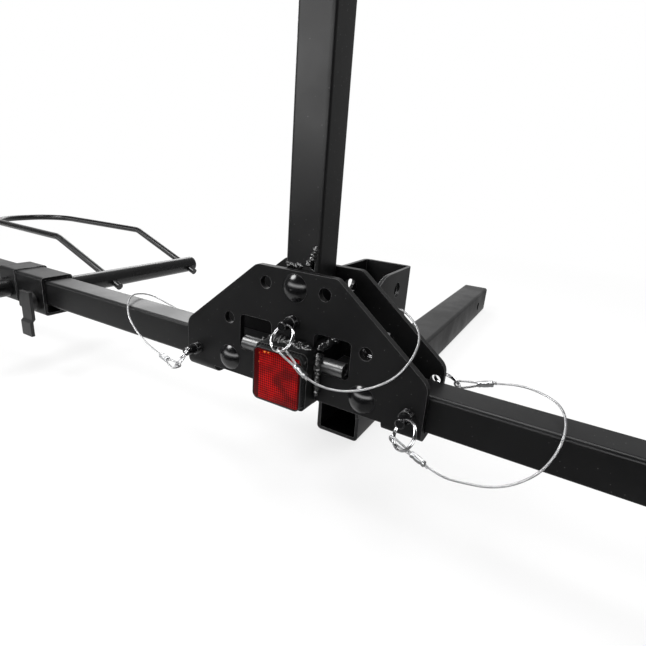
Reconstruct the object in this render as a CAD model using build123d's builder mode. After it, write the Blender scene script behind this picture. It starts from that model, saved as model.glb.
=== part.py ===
"""Hitch bike rack with folding wheel arms, a folding mast and a fold-up hinge.

Millimetres, +Z up, +Y towards the vehicle. The origin is the centre of the hitch pin hole in the shank.
"""

import os
from dataclasses import dataclass
from math import cos, hypot, pi, radians, sin, tan

from build123d import *

# Receiver shank
shank_side = 50.8
shank_wall = 4.0
shank_corner = 5.0
shank_length = 662.0
hitch_hole_radius = 8.25
hitch_hole_from_end = 76.0

# Place of the folding rail, measured from the shank
rail_rise = 84.0
rail_ahead = 77.0

# Square tube of the arms and the mast
bar_side = 32.0
bar_wall = 2.5
bar_corner = 3.5

# Pivot plates
plate_thickness = 6.0
plate_gap = 3.0
plate_top = 92.5
plate_top_half = 38.5
plate_shoulder = 26.7
plate_side_half = 119.0
plate_bottom = -13.7
plate_top_corner = 9.0
plate_shoulder_corner = 13.0
foot_inner_radius = 4.0
foot_length = 33.0
foot_lip_gap = 8.0
foot_seat_clearance = 0.2
window_inner = 21.0
window_outer = 55.0
window_low = 12.5
window_high = 45.0
window_corner = 4.0

# Pivots and lock pins of the arms and the mast
arm_pivot_out = 67.5
arm_pin_reach = 39.0
arm_inner_end = 31.5
arm_end = 600.0
mast_pivot_up = 78.3
mast_pin_reach = 28.4
mast_below_pivot = 44.0
mast_above_pivot = 592.0
pivot_bolt_radius = 5.0
pivot_clearance = 0.08
bolt_head_radius = 12.0
bolt_head_height = 5.5
nut_across_flats = 17.0
nut_height = 8.5
nut_flange_radius = 11.0
nut_flange_height = 1.6
bolt_tail = 3.0
washer_radius = 13.0
washer_clearance = 0.15
spare_hole_radius = 5.5
pin_radius = 4.0
pin_chamfer = 0.6
pin_free_gap = 0.4
pin_outside = 16.5
pin_ring_from_tip = 3.8
collar_length = 5.5
collar_wall = 1.0
collar_rib = 0.8
collar_ribs = 3
collar_clearance = 0.08
collar_press_gap = 0.05

# Split rings on the lock pins and on the back plate
ring_radius = 11.2
ring_wire_radius = 0.8
ring_wire_overlap = 0.1
ring_hole_clearance = 0.35
anchor_ring_past_edge = 1.5
anchor_ring_droop = 20.0
anchor_hole_radius = 4.3
anchor_clearance = 0.3

# Centre tube, reflector and grip rod
centre_tube_side = 50.8
centre_tube_wall = 4.0
centre_tube_up = 6.0
centre_tube_ahead = 40.0
centre_tube_behind_hinge = 25.0
weld_fit = 0.2
reflector_side = 45.5
reflector_corner = 4.5
reflector_lens_thickness = 4.0
reflector_housing_depth = 16.0
reflector_housing_lip = 2.2
grip_rod_radius = 6.35
grip_rod_wall = 2.0
grip_rod_length = 101.0
grip_rod_up = 19.0
grip_rod_ahead = 22.5

# Upright bracket with the fold-up hinge
cheek_thickness = 3.5
cheek_clearance = 0.4
cheek_top = 73.0
cheek_corner = 45.0
cheek_front = 65.0
bracket_web = 175.0
cheek_overlap = 15.0
cheek_bend = 3.0
hinge_back = 134.0
hinge_bolt_radius = 6.0
hinge_head_height = 8.0
hinge_head_across_flats = 19.0
tilt_hole_reach = 46.5
tilt_pin_radius = 7.8
tilt_pin_clearance = 0.45
tilt_pin_free_gap = 0.5
tilt_guide_length = 18.0
tilt_guide_wall = 4.0
tilt_pin_travel = 57.0
tilt_bend_clearance = 2.6
tilt_handle_drop = 26.0
tilt_handle_bend = 12.0
weld_leg = 3.5

# Wheel holders
holder_out = 401.0
sleeve_length = 58.0
sleeve_fit = 0.6
sleeve_wall = 3.4
sleeve_drop = 12.5
end_collar_length = 34.0
end_collar_wall = 4.9
cross_tube_radius = 12.5
cross_tube_wall = 2.0
cross_tube_drop = 4.0
cross_tube_past_hoop = 16.0
front_tube_offset = 47.0
hoop_rod_radius = 5.0
hoop_centre = 168.0
hoop_half_width = 74.0
hoop_end_half_width = 62.0
hoop_bend_out = 118.0
hoop_rise = 46.0
hoop_length = 350.0
hoop_stub = 24.0
hoop_bend_radius = 24.0
hoop_end_radius = 56.0
rod_hole_clearance = 0.15
clamp_axis_in = 9.0
clamp_axis_drop = 12.0
clamp_stud_radius = 4.0
clamp_disc_radius = 13.0
clamp_disc_thickness = 8.0
clamp_disc_gap = 3.5
lever_width = 20.0
lever_thickness = 4.0
lever_shift = 8.0
lever_above = 16.0
lever_below = 40.0
lever_step = 19.0
lever_joggle = 3.0

# Frame hooks on the mast
hook_collar_height = 45.0
hook_collar_wall = 3.5
hook_collar_fit = 0.6
hook_rod_radius = 6.0
hook_reach = 110.0
hook_drop = 46.0
hook_tip_rise = 30.0
hook_tip_run = 26.0
hook_front_up = 470.0
hook_rear_up = 560.0
knob_radius = 14.0
knob_thickness = 12.0
knob_stem_radius = 4.0
knob_gap = 4.0

# Tube end caps
cap_thickness = 4.0
cap_plug = 10.0
cap_fit = 0.25

# Cable lanyards
cable_radius = 0.9
ferrule_length = 10.0
ferrule_width = 4.6
ferrule_depth = 2.8
eye_length = 17.0
eye_radius = 3.8
eye_end_gap = 0.2
eye_clearance = 0.85
eye_leg_offset = 1.2

# Places worked out from the sizes above
bar_half = bar_side / 2
shank_front = hitch_hole_from_end - shank_length
rail_y = shank_front - rail_ahead
rail_z = rail_rise
plate_inner = bar_half + plate_gap
plate_outer = plate_inner + plate_thickness
foot_top = -bar_half - foot_seat_clearance + foot_inner_radius
tube_half = centre_tube_side / 2
cheek_inner = tube_half + cheek_clearance
cheek_outer = cheek_inner + cheek_thickness
hinge_y = rail_y + hinge_back
hinge_z = rail_z + centre_tube_up
tilt_pin_y = hinge_y - tilt_hole_reach
tilt_hole_radius = tilt_pin_radius + tilt_pin_clearance
tilt_guide_end = cheek_outer + tilt_guide_length
tilt_tip_x = -tube_half - tilt_pin_free_gap
tilt_outer_x = -tilt_guide_end - tilt_pin_travel - tilt_bend_clearance - tilt_handle_bend
pivot_hole_radius = pivot_bolt_radius + pivot_clearance
mast_z = rail_z + mast_pivot_up
mast_pin_z = mast_z - mast_pin_reach
arm_pin_out = arm_pivot_out + arm_pin_reach
sleeve_inner = bar_half + sleeve_fit
ring_wire_pitch = 2 * ring_wire_radius - ring_wire_overlap
cross_tube_reach = hoop_centre + hoop_half_width + cross_tube_past_hoop
hook_inner = bar_half + hook_collar_fit

os.makedirs("parts", exist_ok=True)


def save(piece, name):
    """Name a finished piece and write its STEP file."""
    piece.part.label = name
    export_step(piece.part, f"parts/{name}.step")


def along_x(x, y, z, direction=1):
    """A plane at a point, facing along X; its own x runs along Y and its own y along Z."""
    return Plane(origin=(x, y, z), x_dir=(0, direction, 0), z_dir=(direction, 0, 0))


def along_y(x, y, z, direction=1):
    """A plane at a point, facing along Y."""
    return Plane(origin=(x, y, z), x_dir=(-direction, 0, 0), z_dir=(0, direction, 0))


def tube_section(side, wall, corner):
    """The wall of a square tube, drawn in the open sketch."""
    RectangleRounded(side, side, corner)
    RectangleRounded(side - 2 * wall, side - 2 * wall, max(corner - wall, 0.6), mode=Mode.SUBTRACT)


def drill(radius, length, *places):
    """Cut a round hole of one length, centred on each plane."""
    with Locations(*places):
        Cylinder(radius, length, mode=Mode.SUBTRACT)


# Shank, from the open front end to the hitch pin end
with BuildPart() as shank:
    with BuildSketch(along_y(0, shank_front, 0)):
        tube_section(shank_side, shank_wall, shank_corner)
    extrude(amount=shank_length)
    drill(hitch_hole_radius, 2 * shank_side, along_x(0, 0, 0))
save(shank, "shank")

# Upright bracket: a channel folded round the centre tube and the top of the shank
bracket_low = shank_side / 2 - cheek_overlap
with BuildPart() as u_bracket:
    with BuildSketch(Plane.XY.offset(bracket_low)):
        with Locations((0, (rail_y + cheek_front + rail_y + bracket_web) / 2)):
            Rectangle(2 * cheek_outer, bracket_web - cheek_front)
    extrude(amount=rail_z + cheek_top - bracket_low)
    outside = u_bracket.edges().filter_by(Axis.Z).group_by(Axis.Y)[-1]
    fillet(outside, cheek_bend + cheek_thickness)
    with BuildSketch(Plane.XY.offset(bracket_low)):
        with Locations((0, rail_y + (cheek_front + bracket_web) / 2 - cheek_thickness)):
            Rectangle(2 * cheek_inner, bracket_web - cheek_front)
    extrude(amount=rail_z + cheek_top - bracket_low, mode=Mode.SUBTRACT)
    crest = u_bracket.edges().filter_by(Axis.X).group_by(Axis.Z)[-1].group_by(Axis.Y)[0]
    fillet(crest, cheek_corner)
    with BuildSketch(along_y(0, rail_y + bracket_web + 1, 0, -1)):
        Rectangle(shank_side + 2 * weld_fit, shank_side + 2 * weld_fit)
    extrude(amount=3 * cheek_thickness, mode=Mode.SUBTRACT)
    drill(hinge_bolt_radius + pivot_clearance, 3 * cheek_outer, along_x(0, hinge_y, hinge_z))
    drill(tilt_hole_radius, 3 * cheek_outer, along_x(0, tilt_pin_y, hinge_z))
    drill(tilt_hole_radius, 3 * cheek_outer, along_x(0, hinge_y, hinge_z + tilt_hole_reach))
save(u_bracket, "u_bracket")

# Guide of the fold-up lock pin, welded to the left cheek
with BuildPart() as tilt_guide:
    with BuildSketch(along_x(-cheek_outer, tilt_pin_y, hinge_z, -1)):
        Circle(tilt_hole_radius + tilt_guide_wall)
        Circle(tilt_hole_radius, mode=Mode.SUBTRACT)
    extrude(amount=tilt_guide_length)
save(tilt_guide, "tilt_pin_guide")

# Hinge bolt across the bracket, with its head and nut
with BuildPart() as hinge_bolt:
    bolt_half = cheek_outer + hinge_head_height
    with BuildSketch(along_x(-cheek_outer, hinge_y, hinge_z)):
        Circle(hinge_bolt_radius)
    extrude(amount=2 * cheek_outer + hinge_head_height + bolt_tail)
    for outward in (-1, 1):
        with BuildSketch(along_x(outward * cheek_outer, hinge_y, hinge_z, outward)):
            RegularPolygon(hinge_head_across_flats / 2, 6, major_radius=False)
        extrude(amount=hinge_head_height)
save(hinge_bolt, "hinge_bolt")

# Weld beads along the foot of the bracket, on both sides and behind the web
with BuildPart() as shank_welds:
    for outward in (-1, 1):
        with BuildSketch(along_y(0, rail_y + rail_ahead, bracket_low)):
            bead_root = -outward * shank_side / 2
            with BuildLine():
                Polyline(
                    (bead_root, 0),
                    (bead_root, -weld_leg),
                    (-outward * cheek_outer, 0),
                    close=True,
                )
            make_face()
        extrude(amount=bracket_web - rail_ahead - cheek_bend)
save(shank_welds, "shank_welds")


def pivot_plate(facing, windows):
    """One formed pivot plate; facing is -1 for the front plate and 1 for the back plate."""
    inner_plane = Plane(
        origin=(0, rail_y + facing * plate_inner, rail_z),
        x_dir=(-facing, 0, 0),
        z_dir=(0, facing, 0),
    )
    foot_start = plate_side_half - foot_length
    with BuildPart() as plate:
        with BuildSketch(inner_plane) as outline:
            with BuildLine():
                Polyline(
                    (0, plate_top),
                    (plate_top_half, plate_top),
                    (plate_side_half, plate_shoulder),
                    (plate_side_half, foot_top),
                    (foot_start, foot_top),
                    (foot_start, plate_bottom),
                    (0, plate_bottom),
                )
                mirror(about=Plane.YZ)
            make_face()
            top_corners = outline.vertices().group_by(Axis.Y)[-1]
            fillet([v for v in top_corners if abs(v.X) > 1], plate_top_corner)
            shoulders = [v for v in outline.vertices() if abs(v.Y - plate_shoulder) < 0.01]
            fillet(shoulders, plate_shoulder_corner)
            with Locations((0, centre_tube_up)):
                Rectangle(centre_tube_side + 2 * weld_fit, centre_tube_side + 2 * weld_fit, mode=Mode.SUBTRACT)
            if windows:
                window_x = (window_inner + window_outer) / 2
                window_z = (window_low + window_high) / 2
                with Locations((-window_x, window_z), (window_x, window_z)):
                    RectangleRounded(
                        window_outer - window_inner,
                        window_high - window_low,
                        window_corner,
                        mode=Mode.SUBTRACT,
                    )
            with Locations((0, mast_pivot_up), (-arm_pivot_out, 0), (arm_pivot_out, 0)):
                Circle(pivot_hole_radius, mode=Mode.SUBTRACT)
            with Locations(
                (0, mast_pivot_up - mast_pin_reach),
                (-mast_pin_reach, mast_pivot_up),
                (mast_pin_reach, mast_pivot_up),
                (-arm_pin_out, 0),
                (arm_pin_out, 0),
                (-arm_pivot_out, arm_pin_reach),
                (arm_pivot_out, arm_pin_reach),
            ):
                Circle(spare_hole_radius, mode=Mode.SUBTRACT)
        extrude(amount=plate_thickness)
        for outward in (-1, 1):
            foot_origin = min(outward * foot_start, outward * plate_side_half)
            bend_y = facing * (plate_inner - foot_inner_radius)
            outer_radius = foot_inner_radius + plate_thickness
            low = foot_top - outer_radius
            seat = foot_top - foot_inner_radius
            lip = facing * foot_lip_gap / 2
            slant = sin(radians(45))
            with BuildSketch(along_x(foot_origin, rail_y, rail_z)):
                with BuildLine():
                    ThreePointArc(
                        (facing * plate_outer, foot_top),
                        (bend_y + facing * outer_radius * slant, foot_top - outer_radius * slant),
                        (bend_y, low),
                    )
                    Polyline((bend_y, low), (lip, low), (lip, seat), (bend_y, seat))
                    ThreePointArc(
                        (bend_y, seat),
                        (bend_y + facing * foot_inner_radius * slant, foot_top - foot_inner_radius * slant),
                        (facing * plate_inner, foot_top),
                    )
                    Line((facing * plate_inner, foot_top), (facing * plate_outer, foot_top))
                make_face()
            extrude(amount=foot_length)
        if not windows:
            for anchor in ANCHORS.values():
                for hole in anchor.holes:
                    drill(anchor_hole_radius, 4 * plate_thickness, along_y(hole.X, hole.Y, hole.Z))
    return plate


# Where the far ring of each lanyard passes through the back plate
anchor_y = rail_y + bar_half + anchor_clearance + ring_wire_radius + ring_radius
anchor_low_chord = (ring_radius ** 2 - (anchor_y - rail_y - plate_inner) ** 2) ** 0.5
anchor_high_chord = (ring_radius ** 2 - (anchor_y - rail_y - plate_outer) ** 2) ** 0.5
anchor_chord = (anchor_low_chord + anchor_high_chord) / 2
anchor_up = 12.0
mast_anchor_out = 54.0
mast_anchor_up = 20.0


@dataclass(frozen=True)
class Anchor:
    """A far ring: its centre, its outward direction and its holes in the back plate."""

    centre: Vector
    outward: Vector
    holes: tuple


def side_anchor(outward):
    """A ring round the back plate's side edge, drooping outwards."""
    droop = radians(anchor_ring_droop)
    direction = Vector(outward * cos(droop), 0, -sin(droop))
    edge = Vector(outward * plate_side_half, anchor_y, rail_z + anchor_up)
    centre = edge + direction * anchor_ring_past_edge
    return Anchor(centre, direction, (centre - direction * anchor_chord,))


def mast_anchor():
    """A ring through two holes behind the right shoulder of the back plate."""
    direction = Vector(1, 0, 0)
    centre = Vector(mast_anchor_out, anchor_y, rail_z + mast_anchor_up)
    return Anchor(centre, direction, (centre - direction * anchor_chord, centre + direction * anchor_chord))


ANCHORS = {"left": side_anchor(-1), "right": side_anchor(1), "mast": mast_anchor()}

front_plate = pivot_plate(-1, True)
save(front_plate, "front_plate")
back_plate = pivot_plate(1, False)
save(back_plate, "back_plate")

# Centre tube through both plates, back to the hinge
tube_front = rail_y - centre_tube_ahead
tube_back = hinge_y + centre_tube_behind_hinge
with BuildPart() as centre_tube:
    with BuildSketch(along_y(0, tube_front, hinge_z)):
        tube_section(centre_tube_side, centre_tube_wall, shank_corner)
    extrude(amount=tube_back - tube_front)
    drill(hinge_bolt_radius + pivot_clearance, 2 * centre_tube_side, along_x(0, hinge_y, hinge_z))
    drill(tilt_hole_radius, 2 * centre_tube_side, along_x(0, tilt_pin_y, hinge_z))
    drill(
        grip_rod_radius + weld_fit,
        2 * centre_tube_side,
        along_x(0, rail_y - grip_rod_ahead, rail_z + grip_rod_up),
    )
save(centre_tube, "centre_tube")

# Grip rod across the front windows, open at both ends
with BuildPart() as grip_rod:
    with BuildSketch(along_x(-grip_rod_length / 2, rail_y - grip_rod_ahead, rail_z + grip_rod_up)):
        Circle(grip_rod_radius)
        Circle(grip_rod_radius - grip_rod_wall, mode=Mode.SUBTRACT)
    extrude(amount=grip_rod_length)
save(grip_rod, "grip_rod")

# Reflector plugged into the front of the centre tube
plug_side = centre_tube_side - 2 * centre_tube_wall - 2 * cap_fit
with BuildPart() as reflector_housing:
    with BuildSketch(along_y(0, tube_front, hinge_z)):
        RectangleRounded(plug_side, plug_side, 1.2)
        plug_inside = plug_side - 2 * reflector_housing_lip
        RectangleRounded(plug_inside, plug_inside, 1.0, mode=Mode.SUBTRACT)
    extrude(amount=reflector_housing_depth - 8.0)
    with BuildSketch(along_y(0, tube_front, hinge_z, -1)):
        flange_side = reflector_side + 2 * 0.8
        RectangleRounded(flange_side, flange_side, reflector_corner)
    extrude(amount=reflector_housing_lip)
save(reflector_housing, "reflector_housing")

with BuildPart() as reflector_lens:
    with BuildSketch(along_y(0, tube_front - reflector_housing_lip, hinge_z, -1)):
        RectangleRounded(reflector_side, reflector_side, reflector_corner)
    extrude(amount=reflector_lens_thickness)
    fillet(reflector_lens.faces().sort_by(Axis.Y)[0].edges(), 1.2)
save(reflector_lens, "reflector_lens")

# Weld round the centre tube in front of the plate, and along its top right corner between the plates
with BuildPart() as tube_welds:
    with BuildSketch(along_y(0, rail_y - plate_outer, hinge_z, -1)):
        Rectangle(centre_tube_side + 2 * weld_leg, 24.0)
        Rectangle(centre_tube_side, 2 * centre_tube_side, mode=Mode.SUBTRACT)
    extrude(amount=weld_leg)
    with Locations(Plane(origin=(tube_half - 1.0, rail_y, hinge_z + tube_half - 1.0), z_dir=(0, 1, 0))):
        Cylinder(weld_leg * 0.8, 2 * plate_inner - 1.0)
    for outward in (-1, 1):
        with Locations(along_x(outward * (tube_half + 0.6), rail_y - grip_rod_ahead, rail_z + grip_rod_up)):
            Torus(grip_rod_radius + 0.9, 1.6)
    with BuildSketch(along_y(0, tube_front, hinge_z)):
        RectangleRounded(centre_tube_side, centre_tube_side, shank_corner)
    extrude(amount=tube_back - tube_front, mode=Mode.SUBTRACT)
    drill(grip_rod_radius, grip_rod_length, along_x(0, rail_y - grip_rod_ahead, rail_z + grip_rod_up))
    with BuildSketch(along_y(0, rail_y - plate_outer, hinge_z)):
        Rectangle(4 * centre_tube_side, 4 * centre_tube_side)
    extrude(amount=plate_thickness, mode=Mode.SUBTRACT)
save(tube_welds, "tube_welds")


def carriage_bolt(x, z):
    """A domed pivot bolt from the front plate through the back plate."""
    dome_radius = (bolt_head_radius ** 2 + bolt_head_height ** 2) / (2 * bolt_head_height)
    with BuildPart() as bolt:
        with BuildSketch(Plane(origin=(x, rail_y - plate_outer, z), x_dir=(1, 0, 0), z_dir=(0, 0, 1))):
            with BuildLine():
                arc_mid = bolt_head_radius * 0.55
                arc_mid_drop = dome_radius - (dome_radius ** 2 - arc_mid ** 2) ** 0.5
                ThreePointArc(
                    (0, -bolt_head_height),
                    (arc_mid, -bolt_head_height + arc_mid_drop),
                    (bolt_head_radius, 0),
                )
                Polyline((bolt_head_radius, 0), (0, 0), (0, -bolt_head_height))
            make_face()
        revolve(axis=Axis((x, rail_y, z), (0, 1, 0)))
        with BuildSketch(along_y(x, rail_y - plate_outer, z)):
            Circle(pivot_bolt_radius)
        extrude(amount=2 * plate_outer + nut_height + bolt_tail)
    return bolt


PIVOTS = {
    "left": (-arm_pivot_out, rail_z),
    "right": (arm_pivot_out, rail_z),
    "mast": (0, mast_z),
}
for side, (pivot_x, pivot_z) in PIVOTS.items():
    save(carriage_bolt(pivot_x, pivot_z), f"pivot_bolt_{side}")

# Flange nuts behind the back plate
with BuildPart() as pivot_nuts:
    for pivot_x, pivot_z in PIVOTS.values():
        with BuildSketch(along_y(pivot_x, rail_y + plate_outer, pivot_z)):
            Circle(nut_flange_radius)
            Circle(pivot_bolt_radius, mode=Mode.SUBTRACT)
        extrude(amount=nut_flange_height)
        with BuildSketch(along_y(pivot_x, rail_y + plate_outer, pivot_z)):
            RegularPolygon(nut_across_flats / 2, 6, major_radius=False)
            Circle(pivot_bolt_radius, mode=Mode.SUBTRACT)
        extrude(amount=nut_height)
save(pivot_nuts, "pivot_nuts")

# Thrust washers between the plates and each tube
with BuildPart() as thrust_washers:
    for pivot_x, pivot_z in PIVOTS.values():
        for facing in (-1, 1):
            with BuildSketch(along_y(pivot_x, rail_y + facing * plate_inner, pivot_z, -facing)):
                Circle(washer_radius)
                Circle(pivot_hole_radius, mode=Mode.SUBTRACT)
            extrude(amount=plate_gap - washer_clearance)
save(thrust_washers, "thrust_washers")


# Lock pins: a ribbed collar pressed into the front plate, and a pin that slides through it
PIN_PLACES = {
    "left": Vector(-arm_pin_out, 0, rail_z),
    "right": Vector(arm_pin_out, 0, rail_z),
    "mast": Vector(0, 0, mast_pin_z),
}
pin_tip_y = rail_y - bar_half - pin_free_gap
pin_head_y = rail_y - plate_outer - pin_outside
ring_hole_y = pin_head_y + pin_ring_from_tip
collar_bore = pin_radius + collar_clearance
collar_radius = collar_bore + collar_wall


@dataclass(frozen=True)
class Lanyard:
    """A cable from a pin's ring to the back plate, in degrees and in points from the rail's axis."""

    ring_turn: float
    ring_lift: float
    pin_hook: float
    anchor_hook: float
    route: tuple


LANYARDS = {
    "left": Lanyard(
        ring_turn=54.7,
        ring_lift=68.0,
        pin_hook=348.0,
        anchor_hook=40.0,
        route=(
            (-147.0, -46.5, -4.5),
            (-163.0, -42.5, -1.0),
            (-184.0, -36.5, 5.0),
            (-205.0, -27.0, 14.0),
            (-226.0, -8.0, 21.5),
            (-238.0, 9.0, 21.0),
            (-236.0, 28.0, 17.5),
            (-216.0, 35.0, 9.5),
            (-184.0, 35.0, 1.5),
        ),
    ),
    "right": Lanyard(
        ring_turn=53.0,
        ring_lift=49.0,
        pin_hook=258.0,
        anchor_hook=40.0,
        route=(
            (142.0, -49.5, -24.0),
            (156.0, -46.0, -25.0),
            (175.5, -43.5, -22.5),
            (191.5, -38.5, -14.5),
            (204.0, -31.0, -2.0),
            (210.5, -21.5, 20.0),
            (206.5, 16.5, 21.5),
            (190.5, 31.0, 22.5),
            (169.5, 35.5, 22.0),
        ),
    ),
    "mast": Lanyard(
        ring_turn=24.6,
        ring_lift=38.8,
        pin_hook=8.0,
        anchor_hook=70.0,
        route=(
            (37.5, -52.0, 16.0),
            (55.0, -45.0, 11.5),
            (74.5, -39.0, 16.0),
            (93.5, -34.0, 27.5),
            (105.0, -31.0, 44.5),
            (103.0, -9.0, 51.5),
            (95.5, 12.0, 53.5),
            (85.0, 27.5, 57.0),
            (71.0, 33.0, 63.5),
            (62.5, 35.8, 58.0),
        ),
    ),
}


@dataclass(frozen=True)
class Ring:
    """A ring's centre, the direction to its far side and the direction across."""

    centre: Vector
    far: Vector
    across: Vector

    def plane(self):
        """The plane that the ring lies in."""
        return Plane(origin=self.centre, x_dir=self.far, z_dir=self.far.cross(self.across))

    def point(self, angle):
        """A point of the ring's centre line, and the ring's direction there."""
        turn = radians(angle)
        place = self.centre + (self.far * cos(turn) + self.across * sin(turn)) * ring_radius
        heading = self.across * cos(turn) - self.far * sin(turn)
        return place, heading


def pin_ring(side):
    """The split ring through a pin's cross hole."""
    turn = radians(LANYARDS[side].ring_turn)
    lift = radians(LANYARDS[side].ring_lift)
    across = Vector(cos(turn), 0, sin(turn))
    hanging = Vector(sin(turn), 0, -cos(turn))
    far = hanging * cos(lift) + Vector(0, -1, 0) * sin(lift)
    hole = PIN_PLACES[side] + Vector(0, ring_hole_y, 0)
    return Ring(hole + far * ring_radius, far, across)


def anchor_ring(side):
    """The split ring through the back plate."""
    return Ring(ANCHORS[side].centre, ANCHORS[side].outward, Vector(0, 1, 0))


def lock_pin(side):
    """One sliding lock pin with the hole that its split ring passes through."""
    place = PIN_PLACES[side]
    seat = pin_ring(side).plane()
    with BuildPart() as pin:
        with BuildSketch(along_y(place.X, pin_head_y, place.Z)):
            Circle(pin_radius)
        extrude(amount=pin_tip_y - pin_head_y)
        chamfer(pin.edges().filter_by(GeomType.CIRCLE), pin_chamfer)
        for step in (-0.5, 0.5):
            with Locations(seat.offset(step * ring_wire_pitch)):
                Torus(ring_radius, ring_wire_radius + ring_hole_clearance, mode=Mode.SUBTRACT)
    return pin


for side, place in PIN_PLACES.items():
    save(lock_pin(side), f"lock_pin_{side}")

with BuildPart() as pin_collars:
    for place in PIN_PLACES.values():
        with BuildSketch(along_y(place.X, rail_y - plate_outer, place.Z, -1)):
            Circle(collar_radius)
        extrude(amount=collar_length)
        with BuildSketch(along_y(place.X, rail_y - plate_inner, place.Z, -1)):
            Circle(spare_hole_radius - collar_press_gap)
        extrude(amount=plate_thickness)
        for rib in range(collar_ribs):
            rib_y = rail_y - plate_outer - collar_length * (rib + 0.5) / collar_ribs
            with Locations(along_y(place.X, rib_y, place.Z)):
                Torus(collar_radius, collar_rib)
        drill(collar_bore, 4 * collar_length, along_y(place.X, rail_y - plate_outer, place.Z))
save(pin_collars, "pin_collars")


def double_wire(ring):
    """Two touching turns of wire, added to the open part as two rings side by side."""
    for step in (-0.5, 0.5):
        with Locations(ring.plane().offset(step * ring_wire_pitch)):
            Torus(ring_radius, ring_wire_radius)


for side in LANYARDS:
    with BuildPart() as split_ring:
        double_wire(pin_ring(side))
    save(split_ring, f"split_ring_{side}")

with BuildPart() as anchor_rings:
    for side in LANYARDS:
        double_wire(anchor_ring(side))
save(anchor_rings, "anchor_rings")


@dataclass(frozen=True)
class CableEnd:
    """Where a cable's eye holds a ring, and the frame of its ferrule."""

    hold: Vector
    aim: Vector
    side: Vector
    normal: Vector

    def eye_path(self):
        """Corners of the eye's loop round the ring."""
        start = self.hold + self.aim * (eye_length - eye_end_gap)
        bearing = ring_wire_pitch / 2 + ring_wire_radius + cable_radius + eye_clearance
        tip = self.hold - self.aim * bearing
        half = self.side * (eye_radius * 1.25)
        leg = self.side * eye_leg_offset
        return (start + leg, tip + half, tip - half, start - leg)

    def ferrule_plane(self):
        """The plane of the ferrule's end that faces the eye."""
        return Plane(origin=self.hold + self.aim * eye_length, x_dir=self.side, z_dir=self.aim)

    def exit(self):
        """The point where the free cable leaves the ferrule."""
        return self.hold + self.aim * (eye_length + ferrule_length)


def cable_end(hold, heading, target):
    """The end of a cable that holds a ring and points at a target."""
    aim = (target - hold).normalized()
    normal = (heading - aim * heading.dot(aim)).normalized()
    return CableEnd(hold, aim, normal.cross(aim), normal)


def add_tube(corners, radii, radius):
    """A round tube along straight runs joined by tangent arcs, added to the open part."""
    with BuildLine() as path:
        FilletPolyline(*corners, radius=radii)
    with BuildSketch(Plane(origin=path.line @ 0, z_dir=path.line % 0)) as section:
        Circle(radius)
    sweep(sections=section.sketch, path=path.line)
    return sum(edge.length for edge in path.line.edges())


def corner_radii(corners):
    """The largest tangent arc that the runs beside each corner leave room for."""
    radii = []
    for before, corner, after in zip(corners, corners[1:], corners[2:]):
        turn = radians((corner - before).get_angle(after - corner))
        shorter = min((corner - before).length, (after - corner).length)
        radii.append(0.45 * shorter / tan(turn / 2))
    return radii


anchor_ends = []
for side, lanyard in LANYARDS.items():
    route = [Vector(x, rail_y + y, rail_z + z) for x, y, z in lanyard.route]
    pin_end = cable_end(*pin_ring(side).point(lanyard.pin_hook), route[0])
    far_end = cable_end(*anchor_ring(side).point(lanyard.anchor_hook), route[-1])
    anchor_ends.append(far_end)
    corners = [pin_end.exit(), *route, far_end.exit()]
    radii = corner_radii(corners)
    with BuildPart() as cable:
        length = add_tube(corners, radii, cable_radius)
        for end in (pin_end, far_end):
            length += add_tube(end.eye_path(), eye_radius - 0.05, cable_radius)
    ideal = pi * cable_radius ** 2 * length
    print(side, "lanyard", round(length), "mm, volume ratio", round(cable.part.volume / ideal, 4),
          "radii", [round(value, 1) for value in radii])
    save(cable, f"lanyard_{side}")
    with BuildPart() as ferrule:
        with BuildSketch(pin_end.ferrule_plane()):
            RectangleRounded(ferrule_width, ferrule_depth, ferrule_depth / 2 - 0.1)
        extrude(amount=ferrule_length)
    save(ferrule, f"ferrule_{side}")

with BuildPart() as anchor_ferrules:
    for end in anchor_ends:
        with BuildSketch(end.ferrule_plane()):
            RectangleRounded(ferrule_width, ferrule_depth, ferrule_depth / 2 - 0.1)
        extrude(amount=ferrule_length)
save(anchor_ferrules, "anchor_ferrules")


# Fold-up lock pin, drawn clear of the centre tube, with a bent handle
with BuildPart() as tilt_pin:
    with BuildLine() as tilt_line:
        FilletPolyline(
            (tilt_tip_x, tilt_pin_y, hinge_z),
            (tilt_outer_x, tilt_pin_y, hinge_z),
            (tilt_outer_x, tilt_pin_y, hinge_z - tilt_handle_drop),
            radius=tilt_handle_bend,
        )
    with BuildSketch(Plane(origin=(tilt_tip_x, tilt_pin_y, hinge_z), z_dir=(-1, 0, 0))):
        Circle(tilt_pin_radius)
    sweep()
save(tilt_pin, "tilt_pin")

# Mast, its foot weld and its cap
mast_low = mast_z - mast_below_pivot
with BuildPart() as mast:
    with BuildSketch(Plane(origin=(0, rail_y, mast_low), z_dir=(0, 0, 1))):
        tube_section(bar_side, bar_wall, bar_corner)
    extrude(amount=mast_below_pivot + mast_above_pivot)
    drill(pivot_hole_radius, 2 * bar_side, along_y(0, rail_y, mast_z))
    drill(spare_hole_radius, 2 * bar_side, along_y(0, rail_y, mast_pin_z))
    notch_low = rail_z + plate_top + 0.8
    with BuildSketch(along_y(0, rail_y - bar_half, 0)):
        with BuildLine():
            Polyline(
                (-bar_half + bar_corner + 0.4, notch_low),
                (-bar_half + bar_corner + 0.4, notch_low + 12.0),
                (-bar_half + bar_corner + 4.4, notch_low + 1.5),
                close=True,
            )
        make_face()
    extrude(amount=2 * bar_wall, both=True, mode=Mode.SUBTRACT)
save(mast, "mast_tube")


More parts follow.
